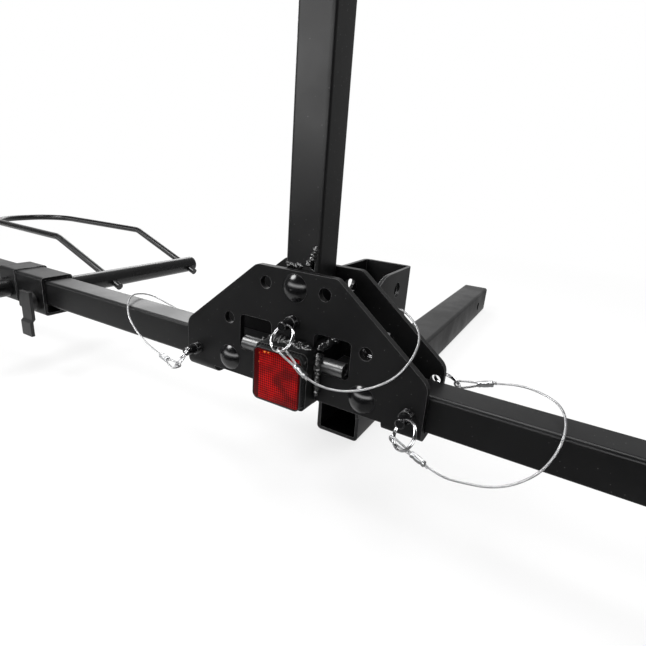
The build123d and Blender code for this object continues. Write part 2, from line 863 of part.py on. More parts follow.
def end_cap(plane, side, wall, corner):
    """A moulded plug for a square tube's end."""
    with BuildPart() as cap:
        with BuildSketch(plane):
            RectangleRounded(side, side, corner)
        extrude(amount=cap_thickness)
        fillet(cap.faces().sort_by(SortBy.AREA)[-2:].edges().filter_by(
            lambda edge: abs((edge.center() - plane.origin).dot(plane.z_dir) - cap_thickness) < 0.01), 1.2)
        plug = side - 2 * wall - 2 * cap_fit
        with BuildSketch(plane):
            RectangleRounded(plug, plug, max(corner - wall, 0.6))
        extrude(amount=-cap_plug)
    return cap


mast_high = mast_z + mast_above_pivot
save(end_cap(Plane(origin=(0, rail_y, mast_high), z_dir=(0, 0, 1)), bar_side, bar_wall, bar_corner), "mast_cap")

# Wheel arms and their caps
for side, outward in (("left", -1), ("right", 1)):
    with BuildPart() as arm:
        with BuildSketch(along_x(outward * arm_inner_end, rail_y, rail_z, outward)):
            tube_section(bar_side, bar_wall, bar_corner)
        extrude(amount=arm_end - arm_inner_end)
        drill(pivot_hole_radius, 2 * bar_side, along_y(outward * arm_pivot_out, rail_y, rail_z))
        drill(spare_hole_radius, 2 * bar_side, along_y(outward * arm_pin_out, rail_y, rail_z))
    save(arm, f"{side}_arm")
    cap_plane = along_x(outward * arm_end, rail_y, rail_z, outward)
    save(end_cap(cap_plane, bar_side, bar_wall, bar_corner), f"{side}_arm_cap")


def hoop_leg_direction(outward):
    """Unit direction of a hoop's legs, up and away from the centre."""
    span = hypot(hoop_bend_out, hoop_rise)
    return Vector(outward * hoop_bend_out / span, 0, hoop_rise / span)


def wheel_hoop(outward, facing, tube_x):
    """One wheel hoop: two legs through the cross tube, joined by a round end."""
    leg = hoop_leg_direction(outward)
    tube_z = rail_z - cross_tube_drop
    start = Vector(tube_x, 0, tube_z) - leg * hoop_stub
    bend_x = tube_x + outward * hoop_bend_out
    end_x = tube_x + outward * hoop_length
    top_z = tube_z + hoop_rise
    middle = rail_y + facing * hoop_centre
    with BuildPart() as hoop:
        with BuildLine() as route:
            FilletPolyline(
                (start.X, middle + hoop_half_width, start.Z),
                (bend_x, middle + hoop_half_width, top_z),
                (end_x, middle + hoop_end_half_width, top_z),
                (end_x, middle - hoop_end_half_width, top_z),
                (bend_x, middle - hoop_half_width, top_z),
                (start.X, middle - hoop_half_width, start.Z),
                radius=[hoop_bend_radius, hoop_end_radius, hoop_end_radius, hoop_bend_radius],
            )
        with BuildSketch(Plane(origin=route.line @ 0, z_dir=route.line % 0)):
            Circle(hoop_rod_radius)
        sweep()
    return hoop


def cross_tube(outward, facing, tube_x, start_y):
    """One round cross tube with a closed outer end, drilled for the hoop's legs."""
    tube_z = rail_z - cross_tube_drop
    leg = hoop_leg_direction(outward)
    reach = cross_tube_reach - start_y
    middle = rail_y + facing * hoop_centre
    with BuildPart() as tube:
        with BuildSketch(along_y(tube_x, rail_y + facing * start_y, tube_z, facing)):
            Circle(cross_tube_radius)
        extrude(amount=reach)
        fillet(tube.edges().filter_by(GeomType.CIRCLE).sort_by(Axis.Y)[-1 if facing > 0 else 0], 2.5)
        with BuildSketch(along_y(tube_x, rail_y + facing * start_y, tube_z, facing)):
            Circle(cross_tube_radius - cross_tube_wall)
        extrude(amount=reach - 2 * cross_tube_wall, mode=Mode.SUBTRACT)
        for leg_side in (-1, 1):
            leg_y = middle + leg_side * hoop_half_width
            with Locations(Plane(origin=(tube_x, leg_y, tube_z), z_dir=leg)):
                Cylinder(hoop_rod_radius + rod_hole_clearance, 4 * cross_tube_radius, mode=Mode.SUBTRACT)
    return tube


# Wheel holders: sleeve, cross tubes and hoops on each arm
for side, outward in (("left", -1), ("right", 1)):
    sleeve_start = holder_out - sleeve_length / 2
    sleeve_half_width = sleeve_inner + sleeve_wall
    sleeve_high = sleeve_inner + sleeve_wall
    sleeve_low = -sleeve_inner - sleeve_drop
    clamp_x = outward * (holder_out - clamp_axis_in)
    collar_half = sleeve_inner + end_collar_wall
    with BuildPart() as sleeve:
        with BuildSketch(along_x(outward * sleeve_start, rail_y, rail_z, outward)):
            with Locations((0, (sleeve_high + sleeve_low) / 2)):
                RectangleRounded(2 * sleeve_half_width, sleeve_high - sleeve_low, 4.0)
        extrude(amount=sleeve_length)
        with BuildSketch(along_x(outward * (sleeve_start + sleeve_length), rail_y, rail_z, outward)):
            RectangleRounded(2 * collar_half, 2 * collar_half, 4.0)
        extrude(amount=end_collar_length)
        cavity_low = sleeve_low + sleeve_wall
        with BuildSketch(along_x(outward * sleeve_start, rail_y, rail_z, outward)):
            with Locations((0, (sleeve_inner + cavity_low) / 2)):
                RectangleRounded(2 * sleeve_inner, sleeve_inner - cavity_low, 1.5)
        extrude(amount=sleeve_length, mode=Mode.SUBTRACT)
        with BuildSketch(along_x(outward * sleeve_start, rail_y, rail_z, outward)):
            RectangleRounded(2 * sleeve_inner, 2 * sleeve_inner, 1.5)
        extrude(amount=sleeve_length + end_collar_length, mode=Mode.SUBTRACT)
        with Locations(along_y(clamp_x, rail_y - sleeve_half_width, rail_z - clamp_axis_drop)):
            Cylinder(clamp_stud_radius + pivot_clearance, 3 * sleeve_wall, mode=Mode.SUBTRACT)
    save(sleeve, f"{side}_sleeve")
    rear_x = outward * holder_out
    front_x = outward * (holder_out + front_tube_offset)
    save(cross_tube(outward, 1, rear_x, sleeve_half_width), f"{side}_cross_tube_rear")
    save(cross_tube(outward, -1, front_x, collar_half), f"{side}_cross_tube_front")
    save(wheel_hoop(outward, 1, rear_x), f"{side}_hoop_rear")
    save(wheel_hoop(outward, -1, front_x), f"{side}_hoop_front")

    # Clamp lever on its stud, in front of the sleeve
    clamp_z = rail_z - clamp_axis_drop
    disc_back = rail_y - sleeve_half_width - clamp_disc_gap
    disc_front = disc_back - clamp_disc_thickness
    stud_end = rail_y - bar_half - 0.3
    blade_x = clamp_x - outward * lever_shift
    with BuildPart() as lever:
        with BuildSketch(along_y(clamp_x, stud_end, clamp_z, -1)):
            Circle(clamp_stud_radius)
        extrude(amount=stud_end - disc_front)
        with BuildSketch(along_y(clamp_x, disc_back, clamp_z, -1)):
            Circle(clamp_disc_radius)
        extrude(amount=clamp_disc_thickness)
        with BuildSketch(Plane(origin=(blade_x - lever_width / 2, disc_front, clamp_z),
                               x_dir=(0, -1, 0), z_dir=(1, 0, 0))):
            with BuildLine():
                Polyline(
                    (0, -lever_above),
                    (lever_thickness, -lever_above),
                    (lever_thickness, lever_step),
                    (lever_thickness + lever_joggle, lever_step + lever_joggle),
                    (lever_thickness + lever_joggle, lever_below),
                    (lever_joggle, lever_below),
                    (lever_joggle, lever_step + lever_joggle),
                    (0, lever_step),
                    close=True,
                )
            make_face()
        extrude(amount=lever_width)
    save(lever, f"{side}_clamp_lever")


# Frame hooks that slide on the mast
for side, facing, up in (("front", -1, hook_front_up), ("rear", 1, hook_rear_up)):
    hook_z = rail_z + up
    collar_half = hook_inner + hook_collar_wall
    with BuildPart() as hook:
        with BuildSketch(Plane(origin=(0, rail_y, hook_z - hook_collar_height / 2), z_dir=(0, 0, 1))):
            RectangleRounded(2 * collar_half, 2 * collar_half, 4.0)
            RectangleRounded(2 * hook_inner, 2 * hook_inner, 1.5, mode=Mode.SUBTRACT)
        extrude(amount=hook_collar_height)
        with BuildLine() as hook_line:
            FilletPolyline(
                (0, rail_y + facing * (collar_half - 1.0), hook_z),
                (0, rail_y + facing * hook_reach, hook_z),
                (0, rail_y + facing * (hook_reach + hook_tip_run), hook_z - hook_drop),
                (0, rail_y + facing * (hook_reach + 2.2 * hook_tip_run), hook_z - hook_drop + hook_tip_rise),
                radius=[16.0, 11.0],
            )
        with BuildSketch(Plane(origin=hook_line.line @ 0, z_dir=hook_line.line % 0)):
            Circle(hook_rod_radius)
        sweep()
        drill(knob_stem_radius + pivot_clearance, 3 * hook_collar_wall, along_x(collar_half, rail_y, hook_z))
    save(hook, f"frame_hook_{side}")
    with BuildPart() as knob:
        with BuildSketch(along_x(bar_half + 0.3, rail_y, hook_z)):
            Circle(knob_stem_radius)
        extrude(amount=collar_half + knob_gap - bar_half)
        with BuildSketch(along_x(collar_half + knob_gap, rail_y, hook_z)):
            Circle(knob_radius)
            with PolarLocations(knob_radius + 2.0, 6):
                Circle(3.6, mode=Mode.SUBTRACT)
        extrude(amount=knob_thickness)
    save(knob, f"hook_knob_{side}")
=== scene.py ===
"""A folding rack frame for a tow hitch, dressed, lit and framed.

The rigid parts keep their solids and take painted, plated and moulded finishes.
The wire lanyards, the split rings, the crimps, the weld beads and the reflector are
modelled here as pieces of their own. Lengths are in metres unless a docstring says
millimetres; points in millimetres are counted from the rail's axis.
"""

from __future__ import annotations

import logging
from collections.abc import Callable, Iterable
from dataclasses import dataclass, field
from enum import Enum
from functools import partial, reduce
from math import cos, pi, radians, sin
from typing import NamedTuple

import bmesh
import bpy
from mathutils import Matrix, Vector, noise


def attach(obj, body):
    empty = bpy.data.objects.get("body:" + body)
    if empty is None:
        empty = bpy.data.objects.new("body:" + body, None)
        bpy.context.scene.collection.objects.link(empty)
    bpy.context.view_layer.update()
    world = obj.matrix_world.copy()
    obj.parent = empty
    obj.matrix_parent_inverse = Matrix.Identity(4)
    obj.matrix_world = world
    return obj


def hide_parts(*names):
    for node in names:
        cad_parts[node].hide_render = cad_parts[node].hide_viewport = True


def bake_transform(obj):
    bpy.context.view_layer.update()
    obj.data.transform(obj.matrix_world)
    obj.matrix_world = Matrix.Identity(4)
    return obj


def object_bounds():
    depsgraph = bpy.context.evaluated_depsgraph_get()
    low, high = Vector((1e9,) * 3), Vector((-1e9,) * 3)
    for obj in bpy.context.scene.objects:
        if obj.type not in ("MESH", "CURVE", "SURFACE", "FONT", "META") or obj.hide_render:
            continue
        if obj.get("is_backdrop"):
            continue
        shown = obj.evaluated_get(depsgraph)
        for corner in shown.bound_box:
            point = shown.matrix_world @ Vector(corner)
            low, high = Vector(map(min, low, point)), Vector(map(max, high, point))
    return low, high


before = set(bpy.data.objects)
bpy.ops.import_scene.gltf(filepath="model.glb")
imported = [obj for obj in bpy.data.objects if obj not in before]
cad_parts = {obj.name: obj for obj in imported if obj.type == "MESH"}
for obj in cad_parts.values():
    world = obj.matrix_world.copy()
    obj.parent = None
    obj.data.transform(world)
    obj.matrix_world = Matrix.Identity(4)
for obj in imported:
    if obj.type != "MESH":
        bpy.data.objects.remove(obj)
LOG = logging.getLogger("rack")
MM = 0.001
TOUCHING = 1e-6
RAIL = Vector((0.0, -0.663, 0.084))
FACING_FRONT = (Vector((1, 0, 0)), Vector((0, 0, 1)), Vector((0, -1, 0)))
WHITE = (1.0, 1.0, 1.0, 1.0)

Rgb = tuple[float, float, float]
Point = tuple[float, float, float]
Pair = tuple[float, float]
Line = list[Vector]
Material = bpy.types.Material
Node = bpy.types.Node
Tree = bpy.types.NodeTree
Socket = bpy.types.NodeSocket
Sockets = bpy.types.bpy_prop_collection
BMesh = bmesh.types.BMesh
VertList = list[bmesh.types.BMVert]
EdgeList = list[bmesh.types.BMEdge]
Maker = Callable[[BMesh], None]


class Place(Enum):
    """Which lock pin a lanyard belongs to."""

    LEFT = "left"
    RIGHT = "right"
    MAST = "mast"


class Ramp(NamedTuple):
    """A change from one value to another between two places, held beyond them."""

    start: float
    end: float
    first: float = 0.0
    last: float = 1.0


def from_rail(point: Point | Vector) -> Vector:
    """A point given in millimetres from the rail's axis, in the row frame."""
    return RAIL + Vector(point) * MM


# Node trees


@dataclass
class Graph:
    """One node tree, with short ways to add its nodes and wire them."""

    tree: Tree

    def feed(self, node: Node, inputs: dict) -> None:
        """Link or set a node's inputs, given by name or number."""
        for key, value in inputs.items():
            if isinstance(value, Socket):
                self.tree.links.new(value, node.inputs[key])
            else:
                node.inputs[key].default_value = value

    def add(self, kind: str, inputs: dict | None = None, **settings: object) -> Node:
        """Add a node.

        Args:
            kind: the node's type, without its ShaderNode prefix.
            inputs: values or sockets, by the input's name or number.
            settings: the node's own properties.

        Returns:
            The new node.
        """
        node = self.tree.nodes.new(f"ShaderNode{kind}")
        for name, value in settings.items():
            setattr(node, name, value)
        self.feed(node, inputs or {})
        return node

    def math(self, operation: str, *values: object) -> Socket:
        """Add a Math node and return its result."""
        return self.add("Math", dict(enumerate(values)), operation=operation).outputs[0]

    def product(self, *factors: object) -> Socket:
        """Multiply the factors and return the result."""
        return reduce(partial(self.math, "MULTIPLY"), factors)

    def vector(self, operation: str, first: object, second: object) -> Node:
        """Add a Vector Math node of two vectors and return it."""
        return self.add("VectorMath", {0: first, 1: second}, operation=operation)

    def span(self, value: object, ramp: Ramp) -> Socket:
        """Send a value through a ramp and return the result."""
        limits = dict(enumerate(ramp, start=1))
        return self.add("MapRange", {"Value": value, **limits}).outputs[0]

    def blend(self, share: object, first: object, second: object) -> Socket:
        """Mix two colours and return the result."""
        node = self.add("Mix", {0: share}, data_type="RGBA")
        for number, colour in ((6, first), (7, second)):
            self.feed(node, {number: colour if isinstance(colour, Socket) else (*colour, 1.0)})
        return node.outputs[2]

    def place(self) -> Socket:
        """The surface's place in object coordinates."""
        return self.add("TexCoord").outputs["Object"]

    def parts(self, vector: Socket) -> Sockets:
        """The three numbers of a vector."""
        return self.add("SeparateXYZ", {0: vector}).outputs

    def use(self, group: Tree, **inputs: float) -> Sockets:
        """Add a shared effect with its own values and return its outputs."""
        values = {name.replace("_", " ").title(): value for name, value in inputs.items()}
        return self.add("Group", values, node_tree=group).outputs


def shared_effect(
    name: str, inputs: dict[str, float], outputs: dict[str, str]
) -> tuple[Graph, dict[str, Socket], Node]:
    """Start a shader node group.

    Args:
        name: the group's name.
        inputs: its number inputs with their defaults.
        outputs: its outputs, each with Float, Vector or Color as its kind.

    Returns:
        The group's graph, its inputs' sockets by name and its output node.
    """
    tree = bpy.data.node_groups.new(name, "ShaderNodeTree")
    for label, value in inputs.items():
        socket = tree.interface.new_socket(name=label, in_out="INPUT", socket_type="NodeSocketFloat")
        socket.default_value = value
    for label, kind in outputs.items():
        tree.interface.new_socket(name=label, in_out="OUTPUT", socket_type=f"NodeSocket{kind}")
    entry = tree.nodes.new("NodeGroupInput")
    leave = tree.nodes.new("NodeGroupOutput")
    return Graph(tree), {label: entry.outputs[label] for label in inputs}, leave


def rounded_edges() -> Tree:
    """Group: normals eased over the edges, and a mask of those edges."""
    turned_away = Ramp(0.985, 0.84)
    graph, given, leave = shared_effect("rounded_edges", {"Width": 0.8 * MM}, {"Mask": "Float", "Normal": "Vector"})
    eased = graph.add("Bevel", {"Radius": given["Width"]}, samples=6).outputs[0]
    true = graph.add("NewGeometry").outputs["Normal"]
    along = graph.vector("DOT_PRODUCT", eased, true).outputs["Value"]
    graph.feed(leave, {"Mask": graph.span(along, turned_away), "Normal": eased})
    return graph.tree


def orange_peel() -> Tree:
    """Group: the fine waves of sprayed and baked paint, as a height."""
    graph, given, leave = shared_effect("orange_peel", {"Scale": 900.0, "Fineness": 0.5}, {"Height": "Float"})
    waves = graph.add(
        "TexNoise",
        {"Vector": graph.place(), "Scale": given["Scale"], "Detail": 2.0, "Roughness": given["Fineness"]},
    )
    graph.feed(leave, {"Height": waves.outputs[0]})
    return graph.tree


def handling_marks() -> Tree:
    """Group: sparse dust specks and slow changes of gloss."""
    rim_to_middle = Ramp(0.28, 0.1)
    graph, given, leave = shared_effect(
        "handling_marks", {"Speck Scale": 560.0, "Speck Share": 0.03, "Cloud Scale": 16.0},
        {"Specks": "Float", "Clouds": "Float"},
    )
    place = graph.place()
    cells = graph.add("TexVoronoi", {"Vector": place, "Scale": given["Speck Scale"]})
    chance = graph.add("SeparateColor", {0: cells.outputs["Color"]}).outputs[0]
    chosen = graph.math("LESS_THAN", chance, given["Speck Share"])
    near = graph.span(cells.outputs["Distance"], rim_to_middle)
    clouds = graph.add(
        "TexNoise", {"Vector": place, "Scale": given["Cloud Scale"], "Detail": 4.0, "Roughness": 0.6}
    )
    graph.feed(leave, {"Specks": graph.product(chosen, near), "Clouds": clouds.outputs[0]})
    return graph.tree


def fine_scratches() -> Tree:
    """Group: thin scratches in crossing directions, as a mask."""
    axis, lays = (0.3, 0.8, 0.5), ((0.4, 18.0), (1.9, 26.0))
    graph, given, leave = shared_effect("fine_scratches", {"Scale": 60.0, "Width": 0.02}, {"Mask": "Float"})
    masks = []
    for turn, squeeze in lays:
        turned = graph.add("VectorRotate", {"Vector": graph.place(), "Angle": turn, "Axis": axis})
        drawn = graph.add("Mapping", {"Vector": turned.outputs[0], "Scale": (1.0, squeeze, 1.0)})
        waves = graph.add("TexNoise", {"Vector": drawn.outputs[0], "Scale": given["Scale"], "Detail": 1.0})
        off = graph.math("ABSOLUTE", graph.math("SUBTRACT", waves.outputs[0], 0.5))
        masks.append(graph.math("LESS_THAN", off, given["Width"]))
    graph.feed(leave, {"Mask": graph.math("MAXIMUM", *masks)})
    return graph.tree


EDGES = rounded_edges()
PEEL = orange_peel()
MARKS = handling_marks()
SCRATCHES = fine_scratches()


# Finishes


@dataclass(frozen=True)
class Finish:
    """What every finish has: a name, a colour and how it shines."""

    name: str
    colour: Rgb
    roughness: float = 0.45
    specular: float = 0.5
    metallic: float = 0.0

    def start(self) -> tuple[Material, Graph, Node]:
        """Make the material with its Principled shader and plain numbers set."""
        material = bpy.data.materials.new(self.name)
        material.use_nodes = True
        graph = Graph(material.node_tree)
        shader = material.node_tree.nodes["Principled BSDF"]
        plain = {
            "Base Color": (*self.colour, 1.0), "Roughness": self.roughness,
            "Metallic": self.metallic, "Specular IOR Level": self.specular,
        }
        graph.feed(shader, plain)
        return material, graph, shader

    @staticmethod
    def texture(graph: Graph, shader: Node, marks: Sockets, colour: Socket, gloss: Ramp, bump: dict) -> None:
        """Link a textured colour, a clouded gloss and a bump to the shader."""
        normal = graph.add("Bump", bump).outputs[0]
        roughness = graph.span(marks["Clouds"], gloss)
        graph.feed(shader, {"Base Color": colour, "Roughness": roughness, "Normal": normal})


@dataclass(frozen=True)
class PowderCoat(Finish):
    """Black powder coat: waves, edges painted paler as a highlight, dust and slow changes of gloss."""

    edge_width: float = 0.9 * MM
    # The paler colour painted along the edges as a highlight, and how patchy it is under the clouds.
    edge_colour: Rgb = (0.2, 0.2, 0.202)
    edge_highlight_patches: Ramp = Ramp(0.3, 0.65, 0.25, 1.0)
    peel_scale: float = 1100.0
    peel_fineness: float = 0.5
    peel_depth: float = 0.03 * MM
    peel_strength: float = 1.0
    dust_colour: Rgb = (0.13, 0.13, 0.13)
    dust_cover: float = 0.5
    speck_share: float = 0.035
    cloud_scale: float = 16.0
    clouds: Pair = (0.35, 0.65)
    gloss_swing: Pair = (-0.06, 0.06)

    def material(self) -> Material:
        """Build the paint."""
        material, graph, shader = self.start()
        edges = graph.use(EDGES, width=self.edge_width)
        peel = graph.use(PEEL, scale=self.peel_scale, fineness=self.peel_fineness)
        marks = graph.use(MARKS, speck_share=self.speck_share, cloud_scale=self.cloud_scale)
        # Edges painted paler as a highlight, in patches under the clouds.
        edge_highlight = graph.product(edges["Mask"], graph.span(marks["Clouds"], self.edge_highlight_patches))
        painted = graph.blend(edge_highlight, self.colour, self.edge_colour)
        dusty = graph.blend(graph.product(marks["Specks"], self.dust_cover), painted, self.dust_colour)
        gloss = Ramp(*self.clouds, *(self.roughness + change for change in self.gloss_swing))
        bump = {"Height": peel[0], "Strength": self.peel_strength, "Distance": self.peel_depth}
        self.texture(graph, shader, marks, dusty, gloss, {**bump, "Normal": edges["Normal"]})
        return material


@dataclass(frozen=True)
class BrightMetal(Finish):
    """Bare or plated metal with fine scratches and uneven polish."""

    metallic: float = 1.0
    cloud_scale: float = 240.0
    clouds: Pair = (0.3, 0.7)
    gloss_swing: Pair = (0.7, 1.4)
    scratch_scale: float = 300.0
    scratch_width: float = 0.03
    scratch_depth: float = 0.01 * MM
    scratch_strength: float = 0.4
    dull_colour: Rgb = (0.35, 0.35, 0.36)
    dull_where: Ramp = Ramp(0.35, 0.7)
    dull_share: float = 0.25

    def material(self) -> Material:
        """Build the metal."""
        material, graph, shader = self.start()
        marks = graph.use(MARKS, cloud_scale=self.cloud_scale)
        scratches = graph.use(SCRATCHES, scale=self.scratch_scale, width=self.scratch_width)
        dull = graph.product(graph.span(marks["Clouds"], self.dull_where), self.dull_share)
        gloss = Ramp(*self.clouds, *(self.roughness * share for share in self.gloss_swing))
        heights = {"Height": scratches[0], "Strength": self.scratch_strength, "Distance": self.scratch_depth}
        colour = graph.blend(dull, self.colour, self.dull_colour)
        self.texture(graph, shader, marks, colour, gloss, heights)
        return material


@dataclass(frozen=True)
class MouldedPlastic(PowderCoat):
    """Moulded plastic: a spark-eroded grain for the waves, and edges painted evenly paler as a highlight."""

    edge_width: float = 0.6 * MM
    # The paler colour painted evenly along the edges as a highlight.
    edge_colour: Rgb = (0.0375, 0.0375, 0.03875)
    edge_highlight_patches: Ramp = Ramp(0.3, 0.65, 0.6, 0.6)
    peel_scale: float = 2600.0
    peel_fineness: float = 0.7
    peel_depth: float = 0.02 * MM
    peel_strength: float = 0.8
    dust_colour: Rgb = (0.12, 0.12, 0.12)
    speck_share: float = 0.015
    cloud_scale: float = 40.0
    clouds: Pair = (0.3, 0.7)
    gloss_swing: Pair = (-0.05, 0.07)


@dataclass(frozen=True)
class PrismRed(Finish):
    """Clear red plastic over rows of small diamond prisms, with painted light and shade on the facets, painted
    orange glints and a plain dark margin.
    """

    shaded_facet_colour: Rgb = (0.045, 0.0003, 0.0005)
    margin_colour: Rgb = (0.05, 0.0008, 0.001)
    painted_glint_colour: Rgb = (0.95, 0.22, 0.04)
    coat: float = 0.08
    coat_roughness: float = 0.05
    centre: Point = (0.0, -0.663, 0.09)
    middle: float = 1.9 * MM
    reach: Pair = (19.7 * MM, 21.6 * MM)
    row: float = 2.9 * MM
    facet: Ramp = Ramp(-0.35, 0.45)
    cloud_scale: float = 70.0
    clouds: Ramp = Ramp(0.35, 0.65, 0.25, 1.0)
    glint_loose: float = 0.2
    glint_chance: Ramp = Ramp(0.022, 0.034, 0.992, 0.72)
    glint_spot: Ramp = Ramp(0.5, 0.2, 0.0, 0.75)

    def material(self) -> Material:
        """Build the reflector's red."""
        material, graph, shader = self.start()
        place = graph.place()
        local = graph.vector("SUBTRACT", place, self.centre).outputs[0]
        turn = {"Vector": local, "Angle": radians(45.0), "Axis": (0.0, 1.0, 0.0)}
        turned = graph.add("VectorRotate", turn).outputs[0]
        spot = graph.parts(local)
        # Facets painted as lit or in shade, from the dark red to the full red.
        red = graph.blend(self.lit(graph, place, turned), self.shaded_facet_colour, self.colour)
        # Painted orange glints laid over the red.
        with_painted_glints = graph.blend(self.painted_glint(graph, spot, turned), red, self.painted_glint_colour)
        wide = graph.math("ABSOLUTE", graph.math("SUBTRACT", spot[0], self.middle))
        beside = graph.math("GREATER_THAN", wide, self.reach[0])
        above = graph.math("GREATER_THAN", graph.math("ABSOLUTE", spot[2]), self.reach[1])
        outside = graph.math("MAXIMUM", beside, above)
        surface = {
            "Base Color": graph.blend(outside, with_painted_glints, self.margin_colour),
            "Coat Weight": self.coat, "Coat Roughness": self.coat_roughness,
        }
        graph.feed(shader, surface)
        return material

    def lit(self, graph: Graph, place: Socket, turned: Socket) -> Socket:
        """Painted light and shade: how far each facet is lit, with slow clouds over the field."""
        ways = graph.parts(turned)
        waves = [graph.math("SINE", graph.product(way, 2.0 * pi / self.row)) for way in (ways[0], ways[2])]
        clouds = graph.add("TexNoise", {"Vector": place, "Scale": self.cloud_scale})
        facets = graph.span(graph.product(*waves), self.facet)
        return graph.product(facets, graph.span(clouds.outputs[0], self.clouds))

    def painted_glint(self, graph: Graph, spot: Sockets, turned: Socket) -> Socket:
        """Painted orange glints in single cells, most of them near the upper left corner."""
        grid = {"Vector": turned, "Scale": 1.0 / self.row, "Randomness": self.glint_loose}
        cells = graph.add("TexVoronoi", grid)
        chance = graph.add("SeparateColor", {0: cells.outputs["Color"]}).outputs[1]
        corner = graph.math("SUBTRACT", spot[2], spot[0])
        chosen = graph.math("GREATER_THAN", chance, graph.span(corner, self.glint_chance))
        return graph.product(chosen, graph.span(cells.outputs["Distance"], self.glint_spot))


BLACK, SOFT_BLACK = (0.0062, 0.0062, 0.0065), (0.011, 0.011, 0.0115)


def built(
    kind: type[PowderCoat | BrightMetal | PrismRed], *look: object, **details: object
) -> Material:
    """A field that holds the material of one finish, built with its dataclass."""
    return field(default_factory=kind(*look, **details).material)


@dataclass(frozen=True)
class Finishes:
    """The finishes of the whole rack, each built once."""

    # Each edge colour here is the highlight painted along that finish's edges.
    plate: Material = built(PowderCoat, "plate_paint", BLACK, 0.4, 0.15, edge_width=0.6 * MM)
    tube: Material = built(
        PowderCoat, "tube_paint", BLACK, 0.34, 0.23, edge_colour=(0.34, 0.34, 0.345), edge_width=0.7 * MM
    )
    rod: Material = built(
        PowderCoat, "rod_paint", BLACK, 0.26, 0.34, edge_colour=(0.012, 0.012, 0.012), speck_share=0.01
    )
    grip: Material = built(
        PowderCoat, "grip_paint", (0.012, 0.012, 0.0125), 0.36, 0.95,
        edge_colour=(0.02, 0.02, 0.02), speck_share=0.01,
    )
    gloss: Material = built(
        PowderCoat, "gloss_black", (0.0045, 0.0045, 0.005), 0.19, 0.42,
        edge_width=0.4 * MM, peel_depth=0.008 * MM, speck_share=0.004, gloss_swing=(-0.03, 0.03),
    )
    weld: Material = built(
        PowderCoat, "weld_paint", SOFT_BLACK, 0.25, 1.0, edge_width=0.4 * MM, peel_scale=380.0, peel_depth=0.3 * MM
    )
    plastic: Material = built(MouldedPlastic, "black_plastic", SOFT_BLACK, 0.42, 0.4)
    washer: Material = built(
        MouldedPlastic, "washer_plastic", (0.02, 0.02, 0.02), 0.5, 0.4, edge_colour=(0.06, 0.06, 0.06)
    )
    bright: Material = built(BrightMetal, "bright_wire", (0.66, 0.66, 0.67), 0.16)
    rope: Material = built(BrightMetal, "rope_wire", (0.44, 0.44, 0.445), 0.38, dull_share=0.3)
    crimp: Material = built(BrightMetal, "crimp_alloy", (0.56, 0.565, 0.575), 0.3, scratch_depth=0.02 * MM)
    red: Material = built(PrismRed, "reflector_red", (0.52, 0.0006, 0.001), 0.22, 0.08)


def dress(material: Material, *nodes: str) -> None:
    """Give the rack's own solids a finish.

    Args:
        material: the finish.
        nodes: the names of the solids' nodes.
    """
    for name in nodes:
        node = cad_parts[name]
        if not node.material_slots:
            node.data.materials.append(material)
        for slot in node.material_slots:
            slot.material = material
    LOG.info("%s on %d nodes", material.name, len(nodes))


# Pieces and shapes


def new_piece(name: str, makers: Iterable[Maker], material: Material, smooth: bool = True) -> bpy.types.Object:
    """Turn shapes into one piece at the origin.

    Args:
        name: the piece's name.
        makers: each adds one shape to an empty bmesh.
        material: the piece's finish.
        smooth: whether its faces shade smoothly.

    Returns:
        The new object, linked to the scene.
    """
    whole, mesh = bmesh.new(), bpy.data.meshes.new(name)
    for maker in makers:
        part = bmesh.new()
        maker(part)
        part.to_mesh(mesh)
        part.free()
        whole.from_mesh(mesh)
    bmesh.ops.remove_doubles(whole, verts=whole.verts, dist=1e-7)
    bmesh.ops.recalc_face_normals(whole, faces=whole.faces)
    for face in whole.faces:
        face.smooth = smooth
    whole.to_mesh(mesh)
    whole.free()
    return link_mesh(name, mesh, material)


def link_mesh(name: str, mesh: bpy.types.Mesh, material: Material) -> bpy.types.Object:
    """Link a mesh to the scene as a piece with one finish."""
    mesh.materials.clear()
    mesh.materials.append(material)
    piece = bpy.data.objects.new(name, mesh)
    bpy.context.scene.collection.objects.link(piece)
    return piece


def add_box(shape: BMesh, size: Point) -> VertList:
    """Add a box round the origin and return its corners."""
    made = bmesh.ops.create_cube(shape, size=1.0)["verts"]
    bmesh.ops.scale(shape, vec=size, verts=made)
    return made


def add_loop(shape: BMesh, sides: int, radius: float) -> VertList:
    """Add an open circle round the origin and return its points."""
    return bmesh.ops.create_circle(shape, cap_ends=False, segments=sides, radius=radius)["verts"]


def edges_of(verts: VertList) -> EdgeList:
    """The edges that meet in any of the points, each once and in a fixed order."""
    return list(dict.fromkeys(edge for vert in verts for edge in vert.link_edges))


def round_edges(shape: BMesh, edges: EdgeList, offset: float, steps: int) -> None:
    """Round edges with an arc."""
    bmesh.ops.bevel(shape, geom=edges, offset=offset, segments=steps, affect="EDGES", profile=0.5, material=-1)


def add_block(shape: BMesh, size: Point, axis: int, corner: float, steps: int) -> None:
    """Add a box round the origin, its edges along one of the axes 0 to 2 rounded."""
    add_box(shape, size)
    along = [edge for edge in shape.edges if abs((edge.verts[0].co - edge.verts[1].co)[axis]) > TOUCHING]
    round_edges(shape, along, corner, steps)


def cut(shape: BMesh, place: Vector, normal: Point, clear_outer: bool = False) -> None:
    """Cut a whole shape along a plane, and drop what lies outside it if asked."""
    bmesh.ops.bisect_plane(
        shape, geom=[*shape.verts, *shape.edges, *shape.faces], plane_co=place, plane_no=normal,
        clear_outer=clear_outer,
    )


def close_ends(shape: BMesh) -> None:
    """Cap every open end of a swept shape."""
    rims = [edge for edge in shape.edges if edge.is_boundary]
    bmesh.ops.holes_fill(shape, edges=rims, sides=0)


def axes_matrix(origin: Vector, x_axis: Vector, y_axis: Vector, z_axis: Vector) -> Matrix:
    """The matrix that carries the three axes and the origin to a place."""
    turn = Matrix((x_axis, y_axis, z_axis)).transposed()
    return Matrix.Translation(origin) @ turn.to_4x4()


# Lines and ropes


